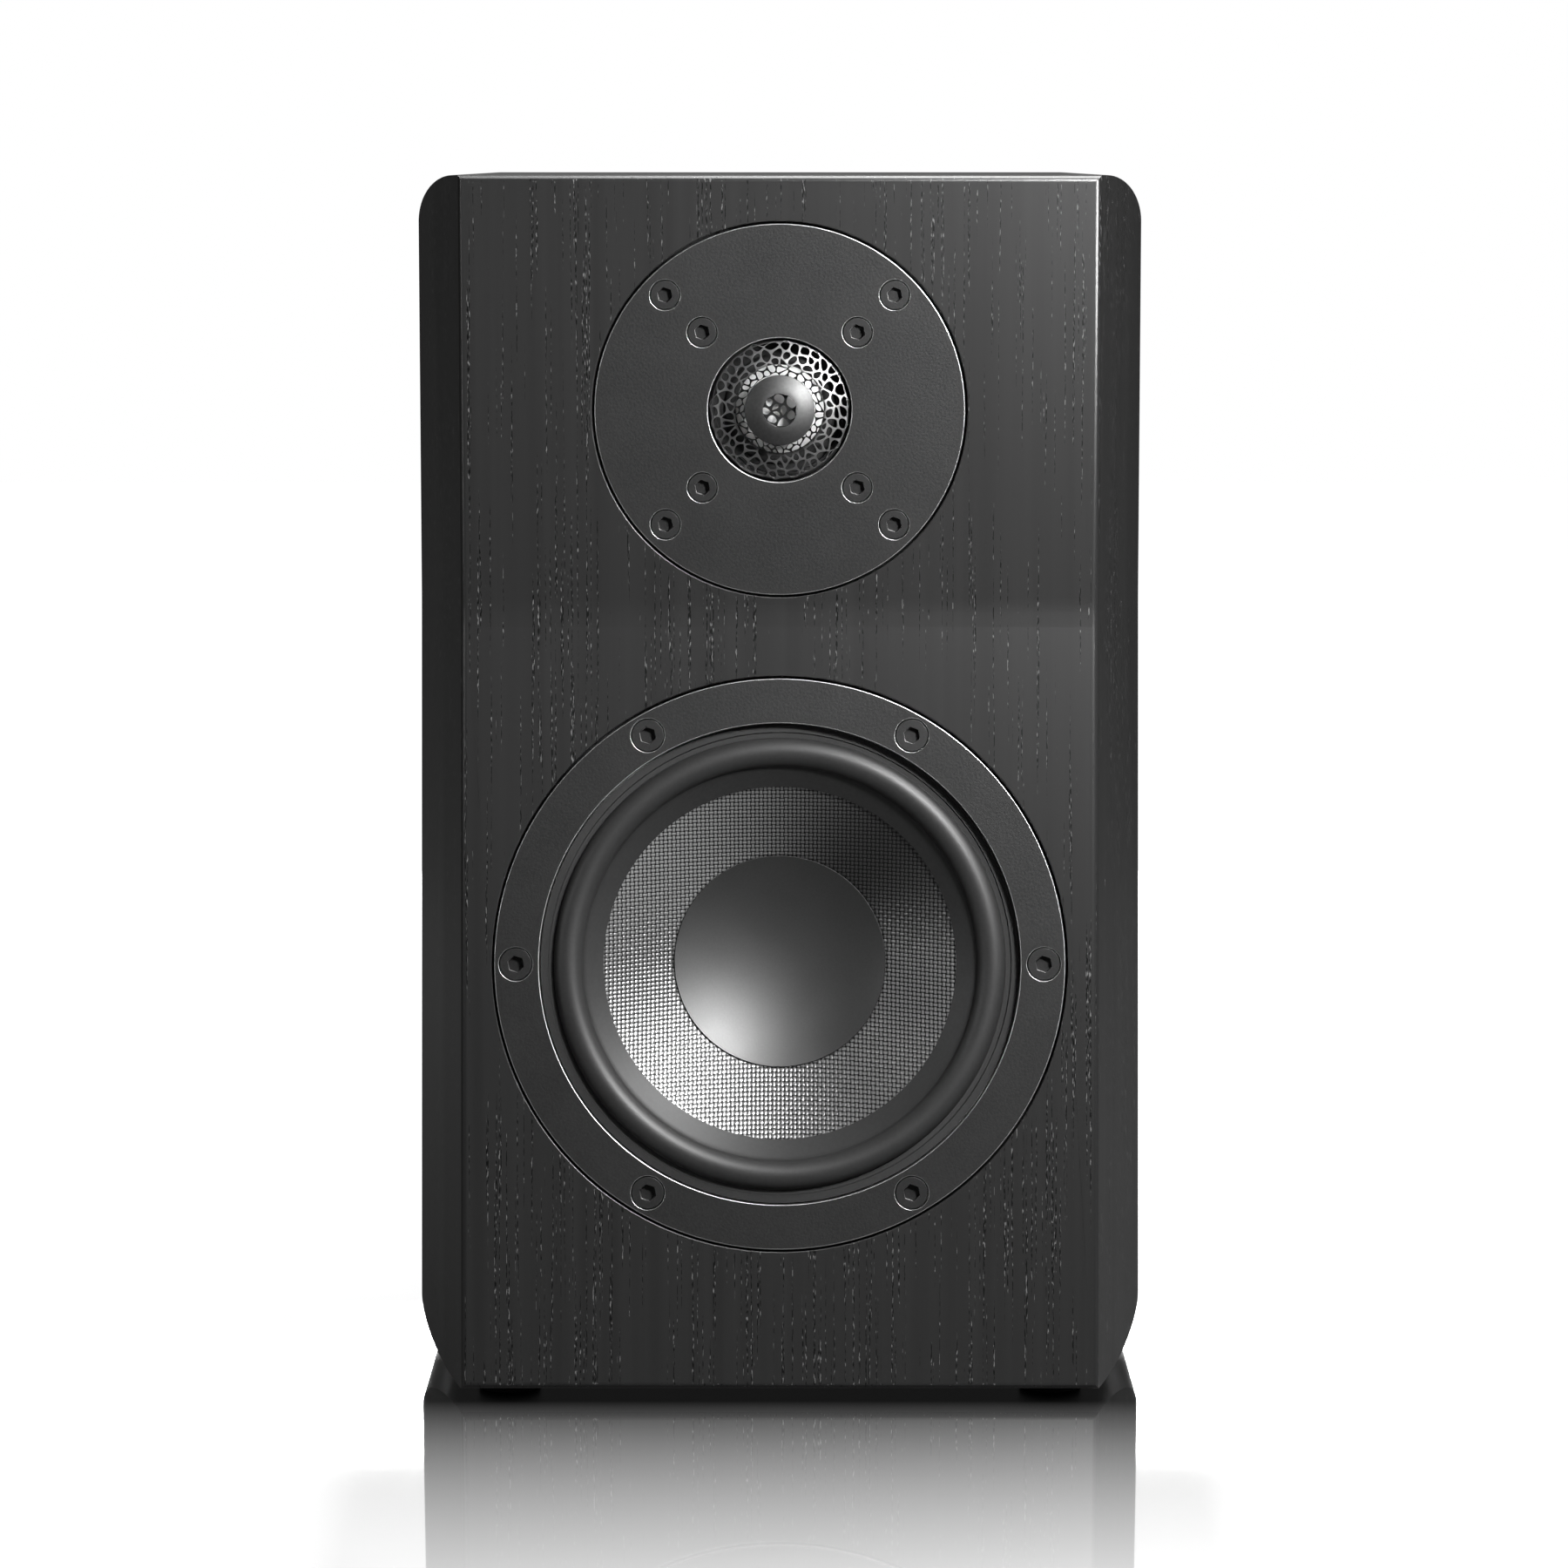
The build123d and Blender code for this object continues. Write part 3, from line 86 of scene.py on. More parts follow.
def traced(node, name):
    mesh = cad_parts[node].data.copy()
    piece = bpy.data.objects.new(name, mesh)
    bpy.context.scene.collection.objects.link(piece)
    mesh.materials.clear()
    pick(piece)
    bpy.ops.mesh.customdata_custom_splitnormals_clear()
    bpy.ops.object.mode_set(mode="EDIT")
    bpy.ops.mesh.select_all(action="SELECT")
    bpy.ops.mesh.remove_doubles(threshold=0.000002)
    bpy.ops.object.mode_set(mode="OBJECT")
    return piece


def dressed(piece, material, slot, body, *nodes):
    piece.data.name = piece.name
    if not piece.data.materials:
        piece.data.materials.append(material)
    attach(piece, body)
    if nodes:
        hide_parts(*nodes)


def covered(node, name, material, slot, body="cabinet", angle=35.0):
    piece = traced(node, name)
    eased(piece, angle)
    dressed(piece, material, slot, body, node)


def add(tree, kind, *wires, **settings):
    made = tree.nodes.new(kind)
    for key, value in settings.items():
        setattr(made, key, value)
    for socket, source in wires:
        if isinstance(source, bpy.types.NodeSocket):
            tree.links.new(source, made.inputs[socket])
        else:
            made.inputs[socket].default_value = source
    return made


def calc(tree, operation, first, second=0.0):
    return add(tree, "ShaderNodeMath", (0, first), (1, second), operation=operation).outputs[0]


def ramp(tree, value, low, high, start=0.0, end=1.0):
    made = add(tree, "ShaderNodeMapRange", (0, value), (1, low), (2, high), (3, start), (4, end))
    return made.outputs[0]


def blended(tree, mask, first, second):
    made = add(tree, "ShaderNodeMix", data_type="RGBA")
    for socket, source in ((0, mask), (6, first), (7, second)):
        if isinstance(source, bpy.types.NodeSocket):
            tree.links.new(source, made.inputs[socket])
        else:
            made.inputs[socket].default_value = source
    return made.outputs[2]


def noise(tree, place, stretch, detail):
    laid = add(tree, "ShaderNodeMapping", ("Vector", place), ("Scale", stretch))
    made = add(tree, "ShaderNodeTexNoise", ("Vector", laid.outputs[0]), ("Scale", 1.0), ("Detail", detail))
    return made.outputs[0]


def embossed(tree, shader, strength, depth, height):
    bump = add(tree, "ShaderNodeBump", ("Strength", strength), ("Distance", depth), ("Height", height))
    tree.links.new(bump.outputs[0], shader.inputs["Normal"])


def grey(level, tint=(1.0, 1.0, 1.0)):
    return (level * tint[0], level * tint[1], level * tint[2], 1.0)


def effect(name, inputs, outputs):
    tree = bpy.data.node_groups.new(name, "ShaderNodeTree")
    for label, kind, value in inputs:
        socket = tree.interface.new_socket(label, in_out="INPUT", socket_type=kind)
        if value is not None:
            socket.default_value = value
    for label in outputs:
        tree.interface.new_socket(label, in_out="OUTPUT", socket_type="NodeSocketFloat")
    return tree, tree.nodes.new("NodeGroupInput").outputs, tree.nodes.new("NodeGroupOutput").inputs


def blank(name):
    material = bpy.data.materials.new(name)
    material.use_nodes = True
    return material, material.node_tree, material.node_tree.nodes["Principled BSDF"]


# Pores lie in long strings, each broken into dashes. They crowd where the slow
# figure of the wood is strong, and between them a few light specks are painted
# in as the glint of fibre ends.
pore_grain, given, gives = effect(
    "open_pore_grain",
    [("Along grain", "NodeSocketVector", None)],
    ["Pore", "Tone", "Glint"],
)
figure = noise(pore_grain, given[0], stretch=(34.0, 34.0, 3.4), detail=1.0)
strings = noise(pore_grain, given[0], stretch=(1600.0, 1600.0, 17.0), detail=1.0)
dashes = noise(pore_grain, given[0], stretch=(2600.0, 2600.0, 520.0), detail=1.0)
tone = noise(pore_grain, given[0], stretch=(260.0, 260.0, 2.6), detail=3.0)
crowd = calc(pore_grain, "MULTIPLY", calc(pore_grain, "SUBTRACT", figure, 0.5), 0.3)
in_string = ramp(pore_grain, calc(pore_grain, "ADD", strings, crowd), 0.612, 0.642)
pore = calc(pore_grain, "MULTIPLY", in_string, ramp(pore_grain, dashes, 0.52, 0.57))
# Glint: light specks along the strings, a painted glint.
glint = calc(pore_grain, "MULTIPLY", in_string, ramp(pore_grain, dashes, 0.40, 0.35))
for source, socket in zip((pore, tone, glint), gives):
    pore_grain.links.new(source, socket)

bend_height = 0.2255
front_slope = 0.12162


def veneer(name, turn, slope=0.0):
    material, tree, lacquer = blank(name)
    lacquer.inputs["Specular IOR Level"].default_value = 0.45
    lacquer.inputs["Roughness"].default_value = 0.33
    place = add(tree, "ShaderNodeTexCoord")
    axes = add(tree, "ShaderNodeSeparateXYZ", ("Vector", place.outputs["Object"]))
    below = calc(tree, "MAXIMUM", calc(tree, "SUBTRACT", bend_height, axes.outputs[2]), 0.0)
    depth = calc(tree, "ADD", axes.outputs[1], calc(tree, "MULTIPLY", below, slope))
    upright = add(tree, "ShaderNodeCombineXYZ", (0, axes.outputs[0]), (1, depth), (2, axes.outputs[2]))
    laid = add(tree, "ShaderNodeMapping", ("Vector", upright.outputs[0]), ("Rotation", turn))
    grain = add(tree, "ShaderNodeGroup", node_tree=pore_grain)
    tree.links.new(laid.outputs[0], grain.inputs[0])
    stain = blended(tree, ramp(tree, grain.outputs["Tone"], 0.3, 0.7), grey(0.012), grey(0.016))
    # The pores are painted near black: partly the stain that collects in them, partly painted shade in their
    # hollows.
    stain_and_painted_pore_shade = blended(tree, grain.outputs["Pore"], stain, grey(0.003))
    # Painted glint: the light specks go into the base colour.
    painted_fibre_glint = calc(tree, "MULTIPLY", grain.outputs["Glint"], 0.7)
    tree.links.new(blended(tree, painted_fibre_glint, stain_and_painted_pore_shade, grey(0.16)), lacquer.inputs["Base Color"])
    # Metallic rises in the pores, so their dark colour also dulls the lacquer's reflection there, as more
    # painted shade.
    tree.links.new(calc(tree, "MULTIPLY", grain.outputs["Pore"], 0.35), lacquer.inputs["Metallic"])
    hollow = calc(tree, "SUBTRACT", 1.0, grain.outputs["Pore"])
    embossed(tree, lacquer, strength=0.1, depth=0.0002, height=hollow)
    return material


# Seats: the centre of each driver on the front face, its z axis pointing out.
lean = math.radians(6.934348901)
woofer_height = 0.1251
woofer_front = -0.135689801
woofer_seat = Matrix(
    (
        (1.0, 0.0, 0.0, 0.0),
        (0.0, math.sin(lean), -math.cos(lean), woofer_front),
        (0.0, math.cos(lean), math.sin(lean), woofer_height),
        (0.0, 0.0, 0.0, 1.0),
    )
)
tweeter_height = 0.2837
tweeter_front = -0.12347899
tweeter_seat = Matrix(
    (
        (1.0, 0.0, 0.0, 0.0),
        (0.0, 0.0, -1.0, tweeter_front),
        (0.0, 1.0, 0.0, tweeter_height),
        (0.0, 0.0, 0.0, 1.0),
    )
)
rim_softness = 0.0004


def soften_rim(piece, seat, least, most):
    inward = seat.inverted()
    pick(piece)
    bpy.ops.object.mode_set(mode="EDIT")
    bpy.ops.mesh.select_mode(type="EDGE")
    bpy.ops.mesh.select_all(action="DESELECT")
    bpy.ops.object.mode_set(mode="OBJECT")
    points = [inward @ vertex.co for vertex in piece.data.vertices]
    on_rim = [abs(p.z) < 0.00003 and least < math.hypot(p.x, p.y) < most for p in points]
    for edge in piece.data.edges:
        edge.select = on_rim[edge.vertices[0]] and on_rim[edge.vertices[1]]
    bpy.ops.object.mode_set(mode="EDIT")
    bpy.ops.mesh.bevel(offset=rim_softness, segments=3, affect="EDGES", clamp_overlap=False)
    bpy.ops.mesh.select_mode(type="VERT")
    bpy.ops.object.mode_set(mode="OBJECT")


front_veneer = veneer("black_oak_front", (0.0, 0.0, 0.0), slope=front_slope)
upright_veneer = veneer("black_oak_upright", (0.0, 0.0, 0.0))
crossing_veneer = veneer("black_oak_crossing", (0.0, math.radians(90), 0.0))
baffle = traced("front_baffle", "veneered_front_baffle")
soften_rim(baffle, woofer_seat, least=0.0824, most=0.0836)
soften_rim(baffle, tweeter_seat, least=0.0533, most=0.0545)
eased(baffle)
dressed(baffle, front_veneer, "veneer", "cabinet", "front_baffle")
for node in ("left_side_panel", "right_side_panel"):
    covered(node, "veneered_" + node, upright_veneer, "veneer")
for node in ("top_panel", "bottom_panel"):
    covered(node, "veneered_" + node, crossing_veneer, "veneer")

# Rear panel, brace and feet: the back board is sprayed in matt black texture
# paint, the window brace inside is bare fibreboard, and four moulded rubber
# feet are pressed into blind holes under the bottom board.
speckle, given, gives = effect(
    "fine_speckle",
    [("Place", "NodeSocketVector", None), ("Grain", "NodeSocketFloat", 900.0)],
    ["Fleck", "Cloud"],
)
fleck = add(speckle, "ShaderNodeTexNoise", ("Vector", given[0]), ("Scale", given[1]), ("Detail", 3.0))
coarse = calc(speckle, "MULTIPLY", given[1], 0.045)
cloud = add(speckle, "ShaderNodeTexNoise", ("Vector", given[0]), ("Scale", coarse), ("Detail", 2.0))
speckle.links.new(ramp(speckle, fleck.outputs[0], 0.3, 0.7), gives[0])
speckle.links.new(ramp(speckle, cloud.outputs[0], 0.3, 0.7), gives[1])


def finish(name, dark, light, roughness, metallic=0.0, grain=900.0, depth=0.00003, strength=0.3, gloss=0.5):
    material, tree, skin = blank(name)
    skin.inputs["Metallic"].default_value = metallic
    skin.inputs["Specular IOR Level"].default_value = gloss
    place = add(tree, "ShaderNodeTexCoord")
    flecks = add(tree, "ShaderNodeGroup", node_tree=speckle)
    tree.links.new(place.outputs["Object"], flecks.inputs["Place"])
    flecks.inputs["Grain"].default_value = grain
    fine = calc(tree, "MULTIPLY", flecks.outputs["Fleck"], 0.85)
    broad = calc(tree, "MULTIPLY", flecks.outputs["Cloud"], 0.15)
    mottled = blended(tree, calc(tree, "ADD", fine, broad), dark, light)
    tree.links.new(mottled, skin.inputs["Base Color"])
    uneven = ramp(tree, flecks.outputs["Cloud"], 0.0, 1.0, roughness - 0.015, roughness + 0.015)
    tree.links.new(uneven, skin.inputs["Roughness"])
    embossed(tree, skin, strength, depth, flecks.outputs["Fleck"])
    return material


def coated(material, *nodes):
    for node in nodes:
        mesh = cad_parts[node].data
        mesh.materials.clear()
        mesh.materials.append(material)


texture_paint = finish(
    "texture_paint", grey(0.014), grey(0.022), roughness=0.62, grain=1500.0, depth=0.00008, strength=0.5
)
covered("rear_panel", "painted_back", texture_paint, "rear_paint")
board_tint = (1.0, 0.74, 0.5)
fibreboard = finish(
    "bare_fibreboard", grey(0.20, board_tint), grey(0.30, board_tint), roughness=0.85, grain=1200.0
)
coated(fibreboard, "window_brace")
foot_rubber = finish("foot_rubber", grey(0.012), grey(0.018), roughness=0.8, grain=1800.0)
covered("rubber_feet", "moulded_feet", foot_rubber, "foot_rubber")

# Damping pads: sheets of polyester wadding stapled to the inner walls. They
# are soft, with rounded edges and an uneven face.
pads = traced("damping_pads", "wadding_pads")
worked(pads, "REMESH", mode="VOXEL", voxel_size=0.004)
worked(pads, "SMOOTH", factor=0.5, iterations=8)
tufts = bpy.data.textures.new("wadding_tufts", "CLOUDS")
tufts.noise_scale = 0.02
worked(pads, "DISPLACE", texture=tufts, strength=0.002, mid_level=1.0, texture_coords="LOCAL")
eased(pads, angle=60.0)
wadding = finish(
    "white_wadding", grey(0.55), grey(0.75), roughness=0.95, grain=700.0, depth=0.0006, strength=0.8
)
dressed(pads, wadding, "wadding", "cabinet", "damping_pads")

# Port: a flared plastic mouth glued flush into the back board, with a plain
# tube pushed on behind it. Moulded in black with a fine spark texture.
port_black = finish(
    "port_plastic", grey(0.012), grey(0.019), roughness=0.5, grain=1600.0, depth=0.00004, strength=0.4
)
covered("port_flare", "flared_mouth", port_black, "port_plastic")
covered("port_tube", "port_pipe", port_black, "port_plastic")

# Terminal plate: a flush black moulded plate held by four screws, with two
# plated binding posts. A fluted knob on each post drives a clamping washer.
terminal_black = finish(
    "terminal_plastic", grey(0.013), grey(0.02), roughness=0.48, grain=1500.0, depth=0.00004, strength=0.4
)
screw_black = finish("blackened_steel", grey(0.011), grey(0.018), roughness=0.42, grain=1400.0, gloss=0.36)
dark_gold = (0.62, 0.40, 0.13, 1.0)
light_gold = (0.74, 0.50, 0.18, 1.0)
plated = finish("gold_plate", dark_gold, light_gold, roughness=0.24, metallic=1.0, grain=500.0, depth=0.00001)
knob_red = finish(
    "knob_red", (0.30, 0.012, 0.012, 1.0), (0.38, 0.018, 0.016, 1.0), roughness=0.34, grain=1000.0
)
knob_black = finish("knob_black", grey(0.012), grey(0.018), roughness=0.34, grain=1000.0)
for node, name, material, slot, body in (
    ("terminal_plate", "terminal_dish", terminal_black, "terminal_black", "cabinet"),
    ("terminal_screws", "terminal_fixings", screw_black, "black_steel", "cabinet"),
    ("post_collars", "post_bushes", terminal_black, "collar_plastic", "cabinet"),
    ("post_studs", "threaded_posts", plated, "post_metal", "cabinet"),
    ("clamp_washer_positive", "washer_positive", plated, "post_metal", "clamp_washer_positive"),
    ("clamp_washer_negative", "washer_negative", plated, "post_metal", "clamp_washer_negative"),
    ("post_knob_positive", "knob_positive", knob_red, "knob_red", "post_knob_positive"),
    ("post_knob_negative", "knob_negative", knob_black, "knob_black", "post_knob_negative"),
):
    covered(node, name, material, slot, body)
foam = finish("gasket_foam", grey(0.015), grey(0.03), roughness=0.9, grain=2200.0, depth=0.0002, strength=0.6)
coated(foam, "terminal_gasket", "woofer_gasket", "tweeter_gasket")
coated(plated, "post_nuts")

# Crossover: coils, film capacitors and ceramic resistors on a green board,
# on plastic standoffs behind the terminal plate, wired by sleeved leads.
dark_copper = (0.46, 0.17, 0.06, 1.0)
light_copper = (0.60, 0.24, 0.09, 1.0)
copper = finish(
    "enamelled_copper",
    dark_copper,
    light_copper,
    roughness=0.3,
    metallic=0.9,
    grain=1600.0,
    depth=0.0002,
    strength=0.6,
)
zinc = finish("zinc_plate", grey(0.5), grey(0.62), roughness=0.34, metallic=1.0, grain=900.0)
green = finish(
    "board_lacquer", (0.01, 0.09, 0.035, 1.0), (0.015, 0.13, 0.05, 1.0), roughness=0.35, grain=700.0
)
nylon = finish("standoff_nylon", grey(0.5), grey(0.6), roughness=0.5)
film = finish("capacitor_film", (0.5, 0.36, 0.05, 1.0), (0.62, 0.46, 0.08, 1.0), roughness=0.3)
ceramic = finish("resistor_ceramic", grey(0.62), grey(0.76), roughness=0.8)
sleeve = finish("lead_sleeve", (0.16, 0.012, 0.012, 1.0), (0.22, 0.016, 0.014, 1.0), roughness=0.45)
coated(green, "crossover_board")
coated(nylon, "board_standoffs")
coated(zinc, "board_screws")
coated(copper, "inductors")
coated(film, "capacitors")
coated(ceramic, "resistors")
coated(sleeve, "input_leads", "woofer_leads", "tweeter_leads")

# Woofer frame: a cast basket with a flat front ring, machined on its edges
# and powder coated satin black. Six counterbored holes take the fixing screws.
# From here on, the heights of turned and drilled pieces are in millimetres.
MM = 0.001
tool_top = 3.0


def placed(piece, seat):
    pick(piece)
    piece.matrix_world = seat
    bpy.ops.object.transform_apply(location=True, rotation=True, scale=True)


def drum(name, radius, low, high, sides=64, at=(0.0, 0.0), spin=0.0):
    bpy.ops.object.select_all(action="DESELECT")
    bpy.ops.mesh.primitive_cylinder_add(
        vertices=sides,
        radius=radius * MM,
        depth=(high - low) * MM,
        location=(at[0] * MM, at[1] * MM, 0.5 * (low + high) * MM),
        rotation=(0.0, 0.0, spin),
    )
    piece = bpy.context.object
    piece.name = name
    bpy.ops.object.transform_apply(location=True, rotation=True, scale=True)
    return piece


def gathered(name, pieces):
    bpy.ops.object.select_all(action="DESELECT")
    for piece in pieces:
        piece.select_set(True)
    bpy.context.view_layer.objects.active = pieces[0]
    bpy.ops.object.join()
    pieces[0].name = name
    return pieces[0]


def cut(piece, tool):
    worked(piece, "BOOLEAN", operation="DIFFERENCE", object=tool, solver="EXACT")
    bpy.data.objects.remove(tool)


def round_about(radius, count, first):
    turns = [first + i * 2.0 * math.pi / count for i in range(count)]
    return [(radius * math.cos(turn), radius * math.sin(turn)) for turn in turns]


def bevelled(piece, width, **more):
    limits = {"limit_method": "ANGLE", "angle_limit": math.radians(40), "use_clamp_overlap": False}
    worked(piece, "BEVEL", width=width, segments=3, **limits, **more)


def bright_edged(piece, width, skin, edge):
    if not piece.data.materials:
        piece.data.materials.append(skin)
        piece.data.materials.append(edge)
    bevelled(piece, width, material=1)


powder = finish(
    "satin_powder_coat",
    grey(0.011),
    grey(0.02),
    roughness=0.42,
    grain=1500.0,
    depth=0.00006,
    strength=0.35,
    gloss=0.36,
)
cut_edge = finish(
    "bright_cut_edge", grey(0.6), grey(0.7), roughness=0.42, metallic=1.0, grain=600.0, depth=0.00001
)
outline_edge = 0.00026
bore_edge = 0.00014

ring_back = -5.9
ledge = -4.6
woofer_ring = drum("woofer_ring", radius=82.2, low=ring_back, high=0.0, sides=224)
cut(woofer_ring, drum("ledge_bore", radius=69.3, low=ledge, high=tool_top, sides=192))
cut(woofer_ring, drum("through_bore", radius=65.5, low=-9.0, high=tool_top, sides=192))
bright_edged(woofer_ring, outline_edge, powder, cut_edge)
woofer_holes = round_about(radius=76.0, count=6, first=0.0)
for hole in woofer_holes:
    cut(woofer_ring, drum("counterbore", radius=4.9, low=-3.4, high=tool_top, sides=48, at=hole))
bright_edged(woofer_ring, bore_edge, powder, cut_edge)
placed(woofer_ring, woofer_seat)
basket = traced("woofer_frame", "basket")
basket.data.materials.append(powder)
slab = drum("slab", radius=84.0, low=ring_back, high=tool_top)
placed(slab, woofer_seat)
cut(basket, slab)
woofer_frame = gathered("woofer_basket_ring", [woofer_ring, basket])
eased(woofer_frame, angle=40.0)
dressed(woofer_frame, powder, "powder_coat", "cabinet", "woofer_frame")

# Driver screws: blackened steel cap screws with flat heads that end flush in
# their bores and a hexagon socket. One is modelled and then copied round.
worn_edge = finish(
    "worn_black_edge", grey(0.1), grey(0.14), roughness=0.4, metallic=1.0, grain=600.0, depth=0.00001
)
head_top = -0.1
head_edge = 0.00016
socket_depth = 1.9
socket_edge = 0.0001


def socket_screw(head, height, socket, shank, length):
    body = drum("screw", head, head_top - height, head_top, sides=48)
    bevelled(body, head_edge)
    corner = socket / math.sqrt(3.0)
    cut(body, drum("socket", corner, head_top - socket_depth, head_top + 2.0, sides=6, spin=0.2))
    bright_edged(body, socket_edge, screw_black, worn_edge)
    stem = drum("stem", shank, head_top - height - length, head_top - height + 0.2, sides=24)
    stem.data.materials.append(screw_black)
    worked(stem, "BEVEL", width=0.0003, segments=1, limit_method="ANGLE")
    return gathered("screw", [body, stem])


def screws_at(name, model, spots, seat, node):
    made = []
    for spot in spots:
        twin = model.copy()
        twin.data = model.data.copy()
        bpy.context.scene.collection.objects.link(twin)
        placed(twin, seat @ Matrix.Translation((spot[0] * MM, spot[1] * MM, 0.0)))
        made.append(twin)
    bpy.data.objects.remove(model)
    group = gathered(name, made)
    eased(group, angle=40.0)
    dressed(group, screw_black, "black_steel", "cabinet", node)


ring_screw = socket_screw(head=4.6, height=3.25, socket=4.3, shank=2.3, length=22.0)
screws_at("woofer_cap_screws", ring_screw, woofer_holes, woofer_seat, "woofer_screws")

# Woofer surround: one moulded half roll of black butyl rubber, glued to the
# ledge inside the frame and, by its flat inner land, to the front of the cone.
# It stays with the frame outside and travels with the cone inside.
roll_outer = 65.25
roll_inner = 56.85
ledge_outer = 69.0
cone_mouth = -5.4
cone_slope = 0.686


def cone_face(radius):
    return cone_mouth - (roll_inner - radius) * cone_slope


def turned(name, outline, steps):
    bpy.ops.object.select_all(action="DESELECT")
    bpy.ops.mesh.primitive_circle_add(vertices=3, radius=0.001)
    piece = bpy.context.object
    piece.name = name
    bpy.ops.object.mode_set(mode="EDIT")
    bpy.ops.mesh.select_all(action="SELECT")
    bpy.ops.mesh.merge(type="CENTER")
    bpy.ops.transform.translate(value=(outline[0][0] * MM, 0.0, outline[0][1] * MM))
    for here, there in zip(outline, outline[1:]):
        step = ((there[0] - here[0]) * MM, 0.0, (there[1] - here[1]) * MM)
        bpy.ops.mesh.extrude_vertices_move(TRANSFORM_OT_translate={"value": step})
    bpy.ops.mesh.select_all(action="SELECT")
    bpy.ops.mesh.spin(steps=steps, angle=2.0 * math.pi, center=(0.0, 0.0, 0.0), axis=(0.0, 0.0, 1.0))
    bpy.ops.mesh.select_all(action="SELECT")
    bpy.ops.mesh.remove_doubles(threshold=0.000003)
    bpy.ops.mesh.normals_make_consistent(inside=False)
    bpy.ops.object.mode_set(mode="OBJECT")
    return piece


def bowed(start, crest, end, count=28):
    rise = crest - 0.5 * (start[1] + end[1])
    points = []
    for i in range(count + 1):
        turn = math.pi * i / count
        across = 0.5 - 0.5 * math.cos(turn)
        foot = start[1] + (end[1] - start[1]) * across
        points.append((start[0] + (end[0] - start[0]) * across, foot + rise * math.sin(turn)))
    return points


roll = bowed((roll_outer, -3.9), -0.35, (roll_inner, -4.2))
under = bowed((roll_outer, -4.7), -1.15, (roll_inner, -5.0))
land_outer = 55.65
land_inner = 51.05
outer_land = [(ledge_outer, ledge), (ledge_outer, -3.4), (66.85, -3.4), (66.55, -3.85)]
inner_land = [
    (56.4, cone_face(56.4) + 0.95),
    (land_outer, cone_face(land_outer) + 0.9),
    (land_inner, cone_face(land_inner) + 0.8),
    (land_inner, cone_face(land_inner)),
    (land_outer, cone_face(land_outer)),
]
roll_outline = outer_land + roll + inner_land + under[::-1] + [(66.55, ledge), (ledge_outer, ledge)]
surround = turned("rubber_roll", roll_outline, steps=192)
placed(surround, woofer_seat)
eased(surround, angle=42.0)
rubber = finish(
    "butyl_rubber", grey(0.017), grey(0.024), roughness=0.46, grain=1100.0, depth=0.00003, strength=0.25
)


def stretched(piece, material, node, moving, middle, axis, held, free):
    piece.data.name = piece.name
    piece.data.materials.append(material)
    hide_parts(node)
    held_point = middle + Vector((held, 0.0, 0.0))
    free_point = middle + Vector((free, 0.0, 0.0))
    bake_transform(piece, "cabinet", moving, start=held_point, end=free_point)
    share = piece.data.attributes["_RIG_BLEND"].data
    for vertex in piece.data.vertices:
        out = vertex.co - middle
        radius = (out - axis * out.dot(axis)).length
        way = min(1.0, max(0.0, (held - radius) / (held - free)))
        share[vertex.index].value = way * way * (3.0 - 2.0 * way)


woofer_axis = Vector((0.0, -math.cos(lean), math.sin(lean)))
woofer_middle = woofer_seat @ Vector((0.0, 0.0, 0.0))
stretched(
    surround,
    rubber,
    "woofer_surround",
    "woofer_cone",
    woofer_middle,
    woofer_axis,
    held=0.0652,
    free=0.0566,
)

# Woofer cone: a pressed cone of woven glass fibre, silver grey, plain weave
# with threads 1.2 mm apart and a clear binder over them. The threads are
# painted lighter in the upper left quarter and darker in the upper right, a
# painted sheen for the light the weave catches there.
threads = 830.0
arch_swing = 0.45
arch_base = 0.55
weave, given, gives = effect(
    "plain_weave",
    [("Place", "NodeSocketVector", None), ("Threads per metre", "NodeSocketFloat", threads)],
    ["Thread"],
)


def thread_side(place):
    aside = calc(weave, "SUBTRACT", calc(weave, "FRACT", place), 0.5)
    return calc(weave, "COSINE", calc(weave, "MULTIPLY", aside, math.pi))


def thread_arch(side):
    return calc(weave, "ADD", calc(weave, "MULTIPLY", side, arch_swing), arch_base)


apart = add(weave, "ShaderNodeSeparateXYZ", ("Vector", given[0]))
across = calc(weave, "MULTIPLY", apart.outputs[0], given[1])
upward = calc(weave, "MULTIPLY", apart.outputs[2], given[1])
square = calc(weave, "ADD", calc(weave, "FLOOR", across), calc(weave, "FLOOR", upward))
over = calc(weave, "GREATER_THAN", calc(weave, "FLOORED_MODULO", square, 2.0), 0.5)
side_a = thread_side(across)
side_b = thread_side(upward)
picked = add(weave, "ShaderNodeMix", data_type="FLOAT")
weave.links.new(over, picked.inputs[0])
weave.links.new(calc(weave, "MULTIPLY", side_a, thread_arch(side_b)), picked.inputs[2])
weave.links.new(calc(weave, "MULTIPLY", side_b, thread_arch(side_a)), picked.inputs[3])
weave.links.new(picked.outputs[0], gives[0])

glass_fibre, tree, cloth = blank("woven_glass_fibre")
cloth.inputs["Metallic"].default_value = 0.82
cloth.inputs["Roughness"].default_value = 0.32
place = add(tree, "ShaderNodeTexCoord").outputs["Object"]
woven = add(tree, "ShaderNodeGroup", node_tree=weave)
woven.inputs["Threads per metre"].default_value = threads
tree.links.new(place, woven.inputs["Place"])
axes = add(tree, "ShaderNodeSeparateXYZ", ("Vector", place))
across = axes.outputs[0]
upward = calc(tree, "SUBTRACT", axes.outputs[2], woofer_height)
reach = calc(tree, "ADD", calc(tree, "MULTIPLY", across, across), calc(tree, "MULTIPLY", upward, upward))
